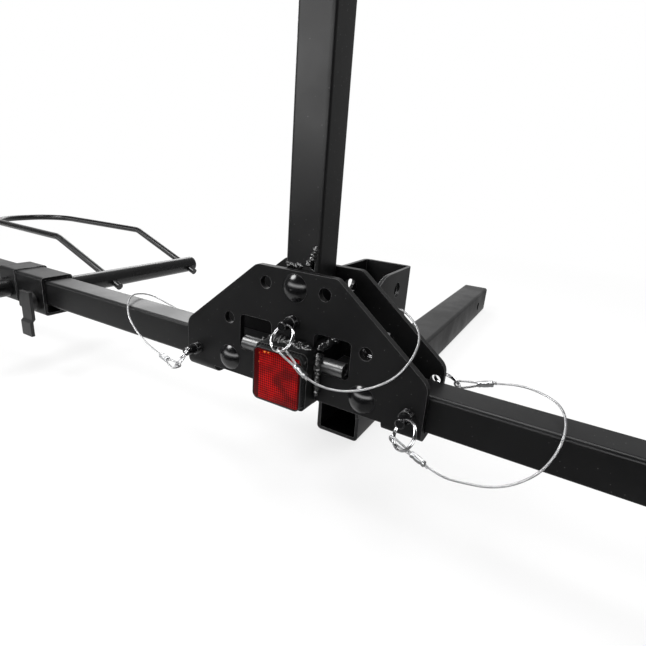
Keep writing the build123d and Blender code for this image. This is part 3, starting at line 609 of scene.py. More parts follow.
def add_spline(curve: bpy.types.Curve, points: Line, smooth: bool = False) -> None:
    """Add a line of points to a curve, straight from point to point or smooth."""
    spline = curve.splines.new("NURBS" if smooth else "POLY")
    spline.points.add(len(points) - 1)
    for point, place in zip(spline.points, points):
        point.co = (*place, 1.0)
    if smooth:
        spline.order_u = 3
        spline.use_endpoint_u = True


def new_curve(name: str) -> bpy.types.Curve:
    """An empty curve in space."""
    curve = bpy.data.curves.new(name, "CURVE")
    curve.dimensions = "3D"
    return curve


def mesh_of(curve: bpy.types.Curve) -> bpy.types.Mesh:
    """Turn a curve into a mesh of its own and remove the curve."""
    carrier = bpy.data.objects.new(curve.name, curve)
    bpy.context.scene.collection.objects.link(carrier)
    bpy.context.view_layer.update()
    ready = carrier.evaluated_get(bpy.context.evaluated_depsgraph_get())
    mesh = bpy.data.meshes.new_from_object(ready)
    bpy.data.objects.remove(carrier)
    bpy.data.curves.remove(curve)
    return mesh


def smooth_line(controls: Line, step: float) -> Line:
    """Points along the NURBS spline of the given control points.

    Args:
        controls: the spline's control points.
        step: the distance between the points read from it.

    Returns:
        Evenly spaced points from the first control point to the last.
    """
    curve = new_curve("line")
    add_spline(curve, controls, smooth=True)
    curve.resolution_u = 40
    mesh = mesh_of(curve)
    read = [vertex.co.copy() for vertex in mesh.vertices]
    bpy.data.meshes.remove(mesh)
    return spaced(read, step)


def length_of(points: Line) -> float:
    """The length of a line of points."""
    return sum((after - before).length for before, after in zip(points, points[1:]))


def spaced(points: Line, step: float) -> Line:
    """The same line with its points at even steps."""
    total = length_of(points)
    count = max(2, round(total / step))
    gap, walked, placed = total / count, 0.0, [points[0]]
    for before, after in zip(points, points[1:]):
        length = (after - before).length
        while len(placed) < count and walked + length >= gap * len(placed):
            placed.append(before.lerp(after, (gap * len(placed) - walked) / length))
        walked += length
    return placed + [points[-1]]


def travelling_frames(line: Line) -> list[tuple[Vector, Vector]]:
    """Two directions square to the line at each point, turning as little as they can."""
    side = (line[1] - line[0]).normalized().orthogonal().normalized()
    frames = []
    for number in range(len(line)):
        before, after = line[max(0, number - 1)], line[min(len(line) - 1, number + 1)]
        ahead = (after - before).normalized()
        side = (side - ahead * side.dot(ahead)).normalized()
        frames.append((side, ahead.cross(side)))
    return frames


@dataclass(frozen=True)
class WireRope:
    """Laid wire rope: strands wound round a straight core as thick as they are."""

    radius: float = 0.9 * MM
    strands: int = 6
    lay: float = 9.0 * MM
    step: float = 0.55 * MM
    swell: float = 1.03

    def make(self, name: str, lines: list[Line], material: Material) -> bpy.types.Object:
        """Wind the strands along lines.

        Args:
            name: the piece's name.
            lines: evenly spaced centre lines, each wound on its own.
            material: the rope's finish.

        Returns:
            The piece, one closed mesh for each strand, joined.
        """
        curve = new_curve(name)
        strand = self.radius / 3.0
        for line in lines:
            for number in range(self.strands):
                add_spline(curve, self.wound(line, 2.0 * pi * number / self.strands, 2.0 * strand))
            add_spline(curve, line)
        curve.bevel_depth = strand * self.swell
        curve.bevel_resolution = 1
        curve.use_fill_caps = True
        mesh = mesh_of(curve)
        mesh.polygons.foreach_set("use_smooth", [True] * len(mesh.polygons))
        return link_mesh(name, mesh, material)

    def wound(self, line: Line, start: float, off: float) -> Line:
        """One strand's line, from its start angle and its distance off the core."""
        wound = []
        for count, (place, (side, up)) in enumerate(zip(line, travelling_frames(line))):
            angle = start + 2.0 * pi * count * self.step / self.lay
            wound.append(place + (side * cos(angle) + up * sin(angle)) * off)
        return wound


@dataclass(frozen=True)
class SplitRing:
    """A split ring: a flat turn of wire, a step aside and a flat turn, in degrees."""

    centre: Vector
    far: Vector
    across: Vector
    radius: float = 11.2 * MM
    wire: float = 0.74 * MM
    wire_sides: int = 14
    pitch: float = 1.5 * MM
    start: float = 200.0
    flat: float = 320.0
    jog: float = 50.0
    facet: float = 5.0

    def outward(self, angle: float) -> Vector:
        """The direction from the centre to the ring, for an angle in degrees."""
        return self.far * cos(radians(angle)) + self.across * sin(radians(angle))

    def heading(self, angle: float) -> Vector:
        """The ring's direction, for an angle in degrees."""
        return self.across * cos(radians(angle)) - self.far * sin(radians(angle))

    def add_to(self, shape: BMesh) -> None:
        """Wind the ring into an empty bmesh."""
        axis = self.far.cross(self.across).normalized()
        first = self.outward(self.start)
        made = add_loop(shape, self.wire_sides, self.wire)
        middle = self.centre + first * self.radius - axis * 0.5 * self.pitch
        place = axes_matrix(middle, first, axis, first.cross(axis))
        bmesh.ops.transform(shape, matrix=place, verts=made)
        last = [*made, *edges_of(made)]
        for sweep, shift in ((self.flat, 0.0), (self.jog, self.pitch), (self.flat, 0.0)):
            steps = round(sweep / self.facet)
            wound = bmesh.ops.spin(
                shape, geom=last, cent=self.centre, axis=axis, dvec=axis * (shift / steps),
                angle=radians(sweep), steps=steps,
            )
            last = wound["geom_last"]
        close_ends(shape)


@dataclass(frozen=True)
class RopeEnd:
    """A rope's end: the eye round a ring and the pressed crimp that closes it.

    The stations are where the crimp's sleeve is cut before it is pressed, in
    millimetres from its middle.
    """

    hold: Vector
    aim: Vector
    side: Vector
    normal: Vector
    eye_length: float = 17.0 * MM
    crimp_length: float = 10.0 * MM
    bearing: float = 3.3 * MM
    half_width: float = 4.6 * MM
    waist: float = 8.0 * MM
    belly: float = 3.6 * MM
    leg: float = 1.2 * MM
    overlap: float = 1.0 * MM
    tail_side: float = 1.6 * MM
    tail_out: float = 3.2 * MM
    crimp_size: Point = (5.6 * MM, 3.7 * MM, 12.0 * MM)
    crimp_corner: float = 1.2 * MM
    crimp_ahead: float = 0.4 * MM
    stations: tuple[float, ...] = (-5.4, -4.2, -3.6, -3.0, -2.4, -1.2, 1.2, 2.4, 3.0, 3.6, 4.2, 5.4)
    pinch_place: float = 3.3 * MM
    pinch_reach: float = 1.2 * MM
    pinch_depth: float = 0.34
    pinch_swell: float = 0.05
    rim_start: float = 0.88

    @staticmethod
    def at(ring: SplitRing, angle: float, target: Vector) -> RopeEnd:
        """The end that holds a ring at an angle and points at a target."""
        hold = ring.centre + ring.outward(angle) * ring.radius
        aim = (target - hold).normalized()
        heading = ring.heading(angle)
        normal = (heading - aim * heading.dot(aim)).normalized()
        return RopeEnd(hold, aim, normal.cross(aim), normal)

    def mouth(self) -> Vector:
        """The point where the free rope leaves the crimp."""
        return self.hold + self.aim * (self.eye_length + self.crimp_length)

    def eye_line(self, step: float) -> Line:
        """The eye's smooth loop, from one side of the crimp round the ring to the other."""
        start = self.hold + self.aim * (self.eye_length + self.overlap)
        waist = self.hold + self.aim * self.waist
        tip = self.hold - self.aim * self.bearing
        half, belly, leg = (self.side * width for width in (self.half_width, self.belly, self.leg))
        loop = [start + leg, waist + belly, tip + half, tip - half, waist - belly, start - leg]
        return smooth_line(loop, step)

    def tail_line(self, step: float) -> Line:
        """The rope's short cut end beside the free rope."""
        start = self.mouth() - self.side * self.tail_side
        return spaced([start - self.aim * self.overlap, start + self.aim * self.tail_out], step)

    def add_crimp(self, shape: BMesh) -> None:
        """Press the crimp's sleeve into an empty bmesh, with its two pinched bands."""
        add_block(shape, self.crimp_size, 2, self.crimp_corner, 4)
        half = 0.5 * self.crimp_size[2]
        for station in self.stations:
            cut(shape, Vector((0.0, 0.0, station * MM)), (0.0, 0.0, 1.0))
        for vert in shape.verts:
            off = abs(vert.co.z)
            pinch = max(0.0, 1.0 - abs(off - self.pinch_place) / self.pinch_reach)
            rim = max(0.0, off / half - self.rim_start)
            vert.co.y *= 1.0 - self.pinch_depth * pinch - rim
            vert.co.x *= 1.0 + self.pinch_swell * pinch - rim
        middle = self.mouth() - self.aim * (half - self.crimp_ahead)
        place = axes_matrix(middle, self.side, self.normal, self.side.cross(self.normal))
        bmesh.ops.transform(shape, matrix=place, verts=shape.verts)


@dataclass(frozen=True)
class Lanyard:
    """A wire rope from a lock pin's ring to the back plate's ring.

    Points are in millimetres and angles in degrees. The hooks are the places on the
    rings where the eyes hold, and the route is the free rope's control points.
    """

    place: Place
    pin: Point
    ring_turn: float
    ring_lift: float
    pin_hook: float
    anchor: Point
    anchor_droop: float
    anchor_hook: float
    stated_length: float
    route: tuple[Point, ...]
    rope: WireRope = WireRope()

    def pin_ring(self) -> SplitRing:
        """The ring that hangs through the pin's cross hole."""
        turn, lift = radians(self.ring_turn), radians(self.ring_lift)
        across = Vector((cos(turn), 0.0, sin(turn)))
        hanging = Vector((sin(turn), 0.0, -cos(turn)))
        far = hanging * cos(lift) + Vector((0.0, -1.0, 0.0)) * sin(lift)
        return SplitRing(from_rail(self.pin) + far * SplitRing.radius, far, across)

    def anchor_ring(self) -> SplitRing:
        """The ring through the back plate's edge or its two small holes."""
        droop = radians(self.anchor_droop)
        outward = -1.0 if self.anchor[0] < 0.0 else 1.0
        far = Vector((outward * cos(droop), 0.0, -sin(droop)))
        return SplitRing(from_rail(self.anchor), far, Vector((0.0, 1.0, 0.0)))

    def make(self, finishes: Finishes) -> tuple[RopeEnd, SplitRing]:
        """Make the rope, its eyes, the pin's ring and the pin's crimp.

        Args:
            finishes: the rack's finishes.

        Returns:
            The rope's end at the back plate and the ring there.
        """
        name, body = self.place.value, f"{self.place.value}_lock_pin"
        pin_ring, anchor_ring = self.pin_ring(), self.anchor_ring()
        route = [from_rail(point) for point in self.route]
        near = RopeEnd.at(pin_ring, self.pin_hook, route[0])
        far = RopeEnd.at(anchor_ring, self.anchor_hook, route[-1])
        ring = new_piece(f"pin_ring_{name}", [pin_ring.add_to], finishes.bright)
        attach(ring, body)
        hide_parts(f"split_ring_{name}")
        crimp = new_piece(f"pin_crimp_{name}", [near.add_crimp], finishes.crimp)
        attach(crimp, body)
        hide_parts(f"ferrule_{name}")
        for label, end, carrier in (("pin", near, body), ("anchor", far, "rack_frame")):
            lines = [end.eye_line(self.rope.step), end.tail_line(self.rope.step)]
            eye = self.rope.make(f"{label}_eye_{name}", lines, finishes.rope)
            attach(eye, carrier)
        line = smooth_line([near.mouth(), *route, far.mouth()], self.rope.step)
        rope = self.rope.make(f"rope_{name}", [line], finishes.rope)
        tuple(far.mouth())
        tuple(near.mouth())
        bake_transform(rope)
        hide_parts(f"lanyard_{name}")
        tuple(near.mouth())
        LOG.info("lanyard %s: %.1f mm between its crimps", name, length_of(line) / MM)
        return far, anchor_ring


LANYARDS = (
    Lanyard(
        Place.LEFT, pin=(-106.5, -37.7, 0.0), ring_turn=54.7, ring_lift=68.0, pin_hook=348.0,
        anchor=(-120.4095, 28.3, 11.487), anchor_droop=20.0, anchor_hook=40.0, stated_length=0.235,
        route=(
            (-147.0, -46.5, -4.5), (-163.0, -42.5, -1.0), (-184.0, -36.5, 5.0), (-205.0, -27.0, 14.0),
            (-226.0, -8.0, 21.5), (-238.0, 9.0, 21.0), (-236.0, 28.0, 17.5), (-216.0, 35.0, 9.5),
            (-184.0, 35.0, 1.5),
        ),
    ),
    Lanyard(
        Place.RIGHT, pin=(106.5, -37.7, 0.0), ring_turn=53.0, ring_lift=49.0, pin_hook=258.0,
        anchor=(120.4095, 28.3, 11.487), anchor_droop=20.0, anchor_hook=40.0, stated_length=0.2,
        route=(
            (142.0, -49.5, -24.0), (156.0, -46.0, -25.0), (175.5, -43.5, -22.5), (191.5, -38.5, -14.5),
            (204.0, -31.0, -2.0), (210.5, -21.5, 20.0), (206.5, 16.5, 21.5), (190.5, 31.0, 22.5),
            (169.5, 35.5, 22.0),
        ),
    ),
    Lanyard(
        Place.MAST, pin=(0.0, -37.7, 49.9), ring_turn=24.6, ring_lift=38.8, pin_hook=8.0,
        anchor=(54.0, 28.3, 20.0), anchor_droop=0.0, anchor_hook=70.0, stated_length=0.188,
        route=(
            (37.5, -52.0, 16.0), (55.0, -45.0, 11.5), (74.5, -39.0, 16.0), (93.5, -34.0, 27.5),
            (105.0, -31.0, 44.5), (103.0, -9.0, 51.5), (95.5, 12.0, 53.5), (85.0, 27.5, 57.0),
            (71.0, 33.0, 63.5), (62.5, 35.8, 58.0),
        ),
    ),
)


# Welds


@dataclass(frozen=True)
class WeldBead:
    """A hand-laid weld bead, in millimetres: a rippled, uneven ridge along a seam."""

    points: tuple[Point, ...]
    radius: float
    ripple: float
    unevenness: float
    seed: float
    step: float = 0.35
    sides: int = 12
    dip: float = 0.18
    thin_end: float = 0.35
    lumps: float = 0.45

    def add_to(self, shape: BMesh) -> None:
        """Lay the bead into a bmesh as one closed ridge."""
        line = smooth_line([from_rail(point) for point in self.points], self.step * MM)
        previous: EdgeList = []
        for number, (place, (side, up)) in enumerate(zip(line, travelling_frames(line))):
            puddle = 1.0 - self.dip + self.dip * abs(cos(pi * number * self.step / self.ripple))
            from_end = min(number, len(line) - 1 - number) * self.step
            taper = min(1.0, self.thin_end + (1.0 - self.thin_end) * from_end / self.radius)
            ring = add_loop(shape, self.sides, 1.0)
            for vert in ring:
                spot = (side * vert.co.x + up * vert.co.y) * self.radius * MM
                where = (place + spot) / MM * self.lumps + Vector((self.seed, 0.0, 0.0))
                size = puddle * taper * (1.0 + self.unevenness * noise.noise(where))
                vert.co = place + spot * size
            edges = edges_of(ring)
            if previous:
                bmesh.ops.bridge_loops(shape, edges=[*previous, *edges])
            previous = edges
        close_ends(shape)


@dataclass(frozen=True)
class RodCollar:
    """The round bead where the grip rod enters the centre tube, in millimetres."""

    outward: float
    place: Point = (26.0, -22.5, 19.0)
    radius: float = 7.2
    bead: float = 1.6
    sides: int = 12
    steps: int = 64
    lumps: float = 0.6
    seed: float = 5.0
    widening: float = 0.5
    swell: float = 0.25

    def add_to(self, shape: BMesh) -> None:
        """Lay the bead into an empty bmesh."""
        centre = from_rail((self.outward * self.place[0], *self.place[1:]))
        made = add_loop(shape, self.sides, self.bead * MM)
        start = axes_matrix(centre + Vector((0.0, 0.0, self.radius * MM)), *FACING_FRONT)
        bmesh.ops.transform(shape, matrix=start, verts=made)
        bmesh.ops.spin(
            shape, geom=[*made, *edges_of(made)], cent=centre, axis=(1.0, 0.0, 0.0), angle=2.0 * pi,
            steps=self.steps, use_merge=True,
        )
        bmesh.ops.remove_doubles(shape, verts=shape.verts, dist=TOUCHING)
        for vert in shape.verts:
            off = vert.co - centre
            shift = Vector((self.outward * self.seed, 0.0, 0.0))
            lump = noise.noise(off / MM * self.lumps + shift)
            along = Vector((off.x, 0.0, 0.0)) * self.widening
            vert.co += (along + off.normalized() * self.swell * MM) * lump


# Sub-assemblies


@dataclass
class Receiver:
    """The square shank, the upright bracket and the fold-up pin."""

    finishes: Finishes

    def make(self) -> None:
        """Dress the shank's body."""
        dress(self.finishes.tube, "shank", "u_bracket", "tilt_pin_guide")
        dress(self.finishes.weld, "shank_welds")
        dress(self.finishes.gloss, "hinge_bolt", "tilt_pin")


@dataclass
class Plates:
    """The pivot plates with their bolts, the centre tube and its welds."""

    finishes: Finishes
    beads: tuple[WeldBead, ...] = (
        WeldBead(
            ((24.6, -24.0, 31.0), (25.4, -12.0, 32.2), (24.6, 3.0, 31.2), (25.4, 18.2, 32.0)),
            radius=3.4, ripple=3.0, unevenness=0.55, seed=1.0,
        ),
        WeldBead(
            ((27.2, -26.4, 30.0), (28.2, -27.6, 24.0), (27.4, -27.0, 8.0), (28.0, -27.2, -8.0)),
            radius=3.5, ripple=3.4, unevenness=0.5, seed=7.0,
        ),
        WeldBead(
            ((27.4, -28.0, 27.0), (29.2, -29.6, 22.5), (28.4, -29.2, 18.5)),
            radius=3.8, ripple=3.0, unevenness=0.4, seed=21.0,
        ),
        WeldBead(
            ((-27.2, -26.4, 30.0), (-28.2, -27.6, 24.0), (-27.4, -27.0, 8.0), (-28.0, -27.2, -8.0)),
            radius=3.5, ripple=3.4, unevenness=0.5, seed=11.0,
        ),
        WeldBead(
            ((-22.0, -27.0, 31.2), (-8.0, -28.6, 31.8), (8.0, -27.8, 31.4), (22.0, -28.2, 31.6)),
            radius=5.2, ripple=4.6, unevenness=0.4, seed=15.0,
        ),
    )
    collars: tuple[RodCollar, ...] = (RodCollar(-1.0), RodCollar(1.0))

    def make(self) -> None:
        """Dress the plates' solids and lay the weld beads round the centre tube."""
        finishes = self.finishes
        bolts = (f"pivot_bolt_{place.value}" for place in Place)
        dress(finishes.plate, "front_plate", "back_plate", "centre_tube")
        dress(finishes.grip, "grip_rod")
        dress(finishes.gloss, *bolts, "pivot_nuts", "pin_collars")
        dress(finishes.washer, "thrust_washers")
        makers = [bead.add_to for bead in (*self.beads, *self.collars)]
        welds = new_piece("centre_tube_welds", makers, finishes.weld)
        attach(welds, "rack_frame")
        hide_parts("tube_welds")


@dataclass
class Reflector:
    """The square reflector in the centre tube's front end, in millimetres and degrees.

    The field of prisms is a grid turned by 45 degrees and cut square, so it is first
    made field_cover times its half width.
    """

    finishes: Finishes
    side: float = 45.5
    corner: float = 4.5
    corner_steps: int = 8
    back: float = -42.2
    front: float = -46.2
    height: float = 6.0
    lens_set_back: float = 0.3
    lens_rim: float = 0.9
    field_half: float = 19.6
    field_middle: float = 1.9
    field_cover: float = 3.2
    prism: float = 1.45
    prism_depth: float = 0.12
    whole_share: float = 0.9
    skirt: float = 0.2
    field_gap: float = 0.02
    rim: float = 0.95
    rim_wall: float = 0.8
    tray_depth: float = 3.6
    tray_set_back: float = 0.5
    tray_floor: float = 0.8
    rib_size: Point = (1.0, 3.6, 1.2)
    rib_count: int = 15
    rib_slant: float = 32.0
    rib_lift: float = 0.15
    rib_set_back: float = 1.3

    def make(self) -> None:
        """Mould the lens with its prisms and the tray with its ribs."""
        finishes = self.finishes
        dress(finishes.plastic, "reflector_housing")
        makers = [self.add_lens, self.add_prisms]
        lens = new_piece("reflector_prisms", makers, finishes.red, smooth=False)
        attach(lens, "rack_frame")
        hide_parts("reflector_lens")
        makers = [self.add_tray, self.add_ribs]
        rim = new_piece("reflector_frame", makers, finishes.plastic, smooth=False)
        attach(rim, "rack_frame")

    def at_depth(self, depth: float, across: float = 0.0) -> Vector:
        """A point of the reflector's axis, or beside it."""
        return from_rail((across, depth, self.height))

    def add_lens(self, shape: BMesh) -> None:
        """The lens's clear body, rounded at its corners and its front rim."""
        face = self.front + self.lens_set_back
        size = (self.side * MM, (self.back - face) * MM, self.side * MM)
        add_block(shape, size, 1, self.corner * MM, self.corner_steps)
        rim = [edge for edge in shape.edges if all(vert.co.y < 0.0 for vert in edge.verts)]
        round_edges(shape, rim, self.lens_rim * MM, 4)
        middle = self.at_depth((self.back + face) / 2.0)
        bmesh.ops.translate(shape, vec=middle, verts=shape.verts)

    def add_prisms(self, shape: BMesh) -> None:
        """The field of small diamond prisms on the lens's face."""
        count = round(self.field_half * self.field_cover / self.prism)
        size = count * self.prism * MM / 2.0
        bmesh.ops.create_grid(shape, x_segments=count, y_segments=count, size=size)
        turn = Matrix.Rotation(radians(45.0), 3, "Z")
        bmesh.ops.rotate(shape, cent=(0, 0, 0), matrix=turn, verts=shape.verts)
        for normal in ((1, 0, 0), (-1, 0, 0), (0, 1, 0), (0, -1, 0)):
            cut(shape, Vector(normal) * self.field_half * MM, normal, clear_outer=True)
        smallest = self.whole_share * (self.prism * MM) ** 2
        whole = [face for face in shape.faces if len(face.verts) == 4 and face.calc_area() > smallest]
        bmesh.ops.poke(shape, faces=whole, offset=self.prism_depth * MM)
        rims = [edge for edge in shape.edges if edge.is_boundary]
        skirt = bmesh.ops.extrude_edge_only(shape, edges=rims)["geom"]
        low = [part for part in skirt if isinstance(part, bmesh.types.BMVert)]
        bmesh.ops.translate(shape, vec=(0.0, 0.0, -self.skirt * MM), verts=low)
        close_ends(shape)
        depth = self.front + self.prism_depth + self.field_gap
        place = axes_matrix(self.at_depth(depth, self.field_middle), *FACING_FRONT)
        bmesh.ops.transform(shape, matrix=place, verts=shape.verts)

    def add_tray(self, shape: BMesh) -> None:
        """The shallow tray that the lens sits in, with its thin rim."""
        outer, depth = self.side + 2.0 * self.rim, self.tray_depth
        size = (outer * MM, depth * MM, outer * MM)
        add_block(shape, size, 1, (self.corner + self.rim) * MM, self.corner_steps)
        face = min(shape.faces, key=lambda side: side.calc_center_median().y)
        bmesh.ops.inset_region(shape, faces=[face], thickness=self.rim_wall * MM, use_even_offset=True)
        sunk = bmesh.ops.extrude_discrete_faces(shape, faces=[face])["faces"][0]
        inwards = (0.0, (depth - self.tray_floor) * MM, 0.0)
        bmesh.ops.translate(shape, vec=inwards, verts=sunk.verts)
        middle = self.at_depth(self.front + self.tray_set_back + depth / 2.0)
        bmesh.ops.translate(shape, vec=middle, verts=shape.verts)

    def add_ribs(self, shape: BMesh) -> None:
        """Slanted ribs round the tray, behind its rim."""
        half = self.side / 2.0 + self.rim
        pitch = 2.0 * (half - self.corner) / (self.rib_count - 1)
        middle = Matrix.Translation(self.at_depth(self.back + self.rib_set_back))
        slant = Matrix.Rotation(radians(self.rib_slant), 3, "Z")
        size = tuple(length * MM for length in self.rib_size)
        for turn in range(4):
            spin = Matrix.Rotation(turn * pi / 2.0, 4, "Y")
            for number in range(self.rib_count):
                made = add_box(shape, size)
                bmesh.ops.rotate(shape, cent=(0, 0, 0), matrix=slant, verts=made)
                across = -half + self.corner + pitch * number
                place = Vector((across, 0.0, half + self.rib_lift)) * MM
                bmesh.ops.translate(shape, vec=place, verts=made)
                bmesh.ops.transform(shape, matrix=middle @ spin, verts=made)


@dataclass
class Mast:
    """The mast with the welds at its foot and its frame hooks."""

    finishes: Finishes
    beads: tuple[WeldBead, ...] = (
        WeldBead(
            ((13.4, -15.3, 113.0), (11.6, -15.5, 107.0), (8.8, -15.3, 100.5), (3.6, -15.4, 95.8)),
            radius=2.7, ripple=2.8, unevenness=0.75, seed=3.0,
        ),
        WeldBead(
            ((-15.0, -15.5, 96.6), (-13.0, -15.6, 94.6), (-6.0, -15.4, 94.8), (2.0, -15.6, 95.0)),
            radius=2.5, ripple=3.0, unevenness=0.8, seed=5.0,
        ),
    )

    def make(self) -> None:
        """Dress the mast and the hooks and lay the foot's beads."""
        dress(self.finishes.tube, "mast_tube")
        dress(self.finishes.plastic, "mast_cap", "hook_knob_front", "hook_knob_rear")
        dress(self.finishes.rod, "frame_hook_front", "frame_hook_rear")
        makers = [bead.add_to for bead in self.beads]
        foot = new_piece("mast_foot_welds", makers, self.finishes.weld)
        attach(foot, "mast")


@dataclass
class Arms:
    """Both wheel arms with their caps, holders, hoops and clamp levers."""

    finishes: Finishes

    def make(self) -> None:
        """Dress the arms and what slides on them."""
        rods = ("cross_tube_rear", "cross_tube_front", "hoop_rear", "hoop_front")
        for side in (Place.LEFT.value, Place.RIGHT.value):
            dress(self.finishes.tube, f"{side}_arm", f"{side}_sleeve")
            dress(self.finishes.plastic, f"{side}_arm_cap", f"{side}_clamp_lever")
            dress(self.finishes.rod, *(f"{side}_{rod}" for rod in rods))


@dataclass
class LockPins:
    """The lock pins with their rings and wire lanyards."""

    finishes: Finishes

    def make(self) -> None:
        """Dress the pins, make each lanyard and join the back plate's rings and crimps."""
        dress(self.finishes.gloss, *(f"lock_pin_{place.value}" for place in Place))
        ends, rings = zip(*(lanyard.make(self.finishes) for lanyard in LANYARDS))
        held = new_piece("plate_rings", [ring.add_to for ring in rings], self.finishes.bright)
        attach(held, "rack_frame")
        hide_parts("anchor_rings")
        pressed = new_piece("plate_crimps", [end.add_crimp for end in ends], self.finishes.crimp)
        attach(pressed, "rack_frame")
        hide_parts("anchor_ferrules")


# Camera and light


@dataclass(frozen=True)
class Shot:
    """The camera: its place in millimetres, its turns in degrees, its focal length in pixels."""

    place: Point = (193.434, -325.536, 170.283)
    yaw: float = 28.756
    pitch: float = 18.532
    roll: float = 4.21
    focal: float = 457.03
    side: float = 646.0
    sensor: float = 36.0
    clip: Pair = (0.01, 100.0)

    def make(self) -> None:
        """Put the camera up and make it the scene's."""
        lens = bpy.data.cameras.new("camera")
        lens.sensor_width = self.sensor
        lens.lens = self.sensor * self.focal / self.side
        lens.clip_start, lens.clip_end = self.clip
        camera = bpy.data.objects.new("camera", lens)
        bpy.context.scene.collection.objects.link(camera)
        turn = (
            Matrix.Rotation(radians(self.yaw), 3, "Z")
            @ Matrix.Rotation(radians(90.0 - self.pitch), 3, "X")
            @ Matrix.Rotation(radians(self.roll), 3, "Z")
        )
        camera.matrix_world = Matrix.Translation(from_rail(self.place)) @ turn.to_4x4()
        bpy.context.scene.camera = camera


@dataclass(frozen=True)
class Softbox:
    """One large soft round lamp that looks at a point of the rack."""

    name: str
    place: Point
    target: Point
    size: float
    power: float

    def make(self) -> None:
        """Hang the lamp."""
        lamp = bpy.data.lights.new(self.name, "AREA")
        lamp.shape = "DISK"
        lamp.size = self.size
        lamp.energy = self.power
        holder = bpy.data.objects.new(self.name, lamp)
        bpy.context.scene.collection.objects.link(holder)
        holder.location = self.place
        toward = Vector(self.target) - Vector(self.place)
        holder.rotation_euler = toward.to_track_quat("-Z", "Y").to_euler()


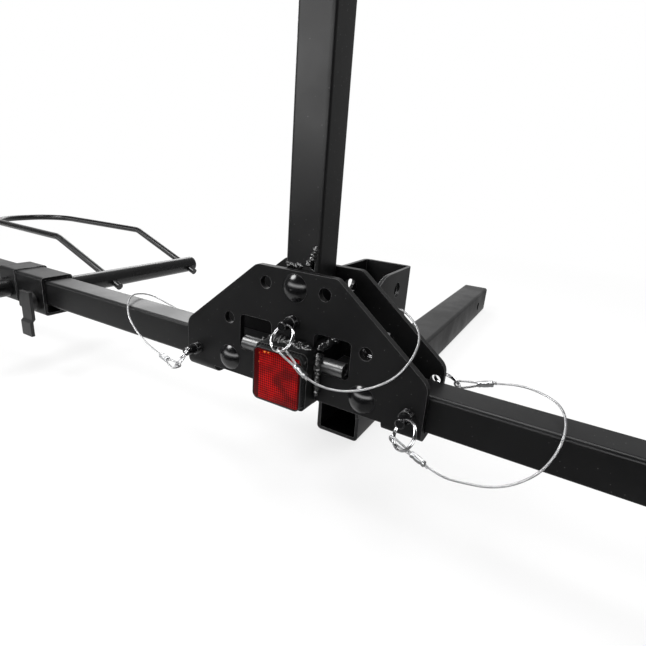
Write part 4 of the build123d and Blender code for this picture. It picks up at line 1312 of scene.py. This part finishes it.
@dataclass
class Studio:
    """White floor and surroundings, with soft light from above, the front and behind.

    The ramps shape what the gloss sees. On the floor it is dark in front and dimmer
    to the right. In the world it is dark in front but for a low bright band, and
    dimmer to the right and overhead.
    """

    floor_size: float = 14.0
    floor_drop: float = 0.0003
    floor_colour: tuple[float, float, float, float] = (0.86, 0.86, 0.86, 1.0)
    floor_depth: Ramp = Ramp(-0.9, -0.868, 0.05, 1.0)
    floor_right: Ramp = Ramp(0.0, 0.045, 1.0, 0.3)
    shadow_fade: Ramp = Ramp(0.75, 1.7, 0.79, 1.0)
    ambient: float = 0.42
    depth: Ramp = Ramp(-0.25, 0.45, 0.05, 1.0)
    right: Ramp = Ramp(-0.6, 0.1, 1.0, 0.55)
    far_right: Ramp = Ramp(0.3, 0.5, 1.0, 0.55)
    overhead: Ramp = Ramp(0.35, 0.85, 1.0, 0.35)
    band: Ramp = Ramp(-0.45, -0.75, 0.0, 7.5)
    band_bottom: Ramp = Ramp(0.01, 0.12)
    band_top: Ramp = Ramp(0.22, 0.36, 1.0, 0.0)
    lamps: tuple[Softbox, ...] = (
        Softbox("overhead", (0.1, -0.45, 1.9), (0.0, -0.6, 0.0), 1.0, 24.0),
        Softbox("front_left_key", (-0.72, -1.26, 1.12), (0.0, -0.66, 0.1), 0.6, 17.0),
        Softbox("left_back", (-1.9, 0.9, 1.3), (0.0, -0.5, 0.1), 1.2, 16.0),
    )

    def make(self) -> None:
        """Lay the floor, light the world and hang the lamps."""
        ground = new_piece("floor", [self.add_floor], self.floor_material(), smooth=False)
        ground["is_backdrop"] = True
        self.surroundings()
        for lamp in self.lamps:
            lamp.make()
        bpy.context.scene.view_settings.view_transform = "Standard"

    def add_floor(self, shape: BMesh) -> None:
        """A plain square just under the rack."""
        low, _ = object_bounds()
        bmesh.ops.create_grid(shape, x_segments=1, y_segments=1, size=self.floor_size / 2.0)
        middle = (0.0, RAIL.y, low.z - self.floor_drop)
        bmesh.ops.translate(shape, vec=middle, verts=shape.verts)

    @staticmethod
    def rays(graph: Graph) -> tuple[Socket, Socket]:
        """Two masks: what the camera sees, also through clear parts, and what the gloss sees."""
        path = graph.add("LightPath").outputs
        clear = graph.math("MAXIMUM", path["Is Camera Ray"], path["Is Transmission Ray"])
        return clear, path["Is Glossy Ray"]

    def floor_material(self) -> Material:
        """White that keeps the rack's shadow for the camera and glows for the gloss."""
        material = bpy.data.materials.new("white_floor")
        material.use_nodes = True
        material.node_tree.nodes.clear()
        graph = Graph(material.node_tree)
        clear, glossy = self.rays(graph)
        place = graph.place()
        spot = graph.parts(place)
        seen = graph.product(graph.span(spot[1], self.floor_depth), graph.span(spot[0], self.floor_right))
        matte = graph.add("BsdfDiffuse", {"Color": self.floor_colour})
        strength = graph.math("MAXIMUM", seen, clear)
        glow = graph.add("Emission", {"Color": WHITE, "Strength": strength})
        away = graph.vector("DISTANCE", place, RAIL).outputs["Value"]
        kept = graph.product(clear, graph.span(away, self.shadow_fade))
        share = graph.math("MAXIMUM", kept, glossy)
        mixed = graph.add("MixShader", {0: share, 1: matte.outputs[0], 2: glow.outputs[0]})
        graph.add("OutputMaterial", {"Surface": mixed.outputs[0]})
        return material

    def surroundings(self) -> None:
        """White where the camera looks, shaped by the ramps for the gloss, grey as light."""
        world = bpy.data.worlds.new("studio")
        bpy.context.scene.world = world
        world.use_nodes = True
        world.node_tree.nodes.clear()
        graph = Graph(world.node_tree)
        clear, glossy = self.rays(graph)
        across, along, up = graph.parts(graph.add("TexCoord").outputs["Generated"])
        sides = graph.product(graph.span(across, self.right), graph.span(across, self.far_right))
        behind = graph.product(graph.span(along, self.depth), sides, graph.span(up, self.overhead))
        low = graph.product(graph.span(up, self.band_bottom), graph.span(up, self.band_top))
        band = graph.product(graph.span(along, self.band), low)
        change = graph.math("SUBTRACT", graph.math("ADD", behind, band), self.ambient)
        base = graph.math("ADD", self.ambient, graph.product(glossy, change))
        strength = graph.math("MAXIMUM", base, clear)
        glow = graph.add("Background", {"Color": WHITE, "Strength": strength})
        graph.add("OutputWorld", {"Surface": glow.outputs[0]})


def main() -> None:
    """Dress the rack, light it and frame it."""
    logging.basicConfig(level=logging.INFO, format="%(name)s: %(message)s")
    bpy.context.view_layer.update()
    finishes = Finishes()
    for assembly in (Receiver, Plates, Reflector, Mast, Arms, LockPins):
        assembly(finishes).make()
        LOG.info("%s made", assembly.__name__)
    Studio().make()
    Shot().make()


if __name__ == "__main__":
    main()
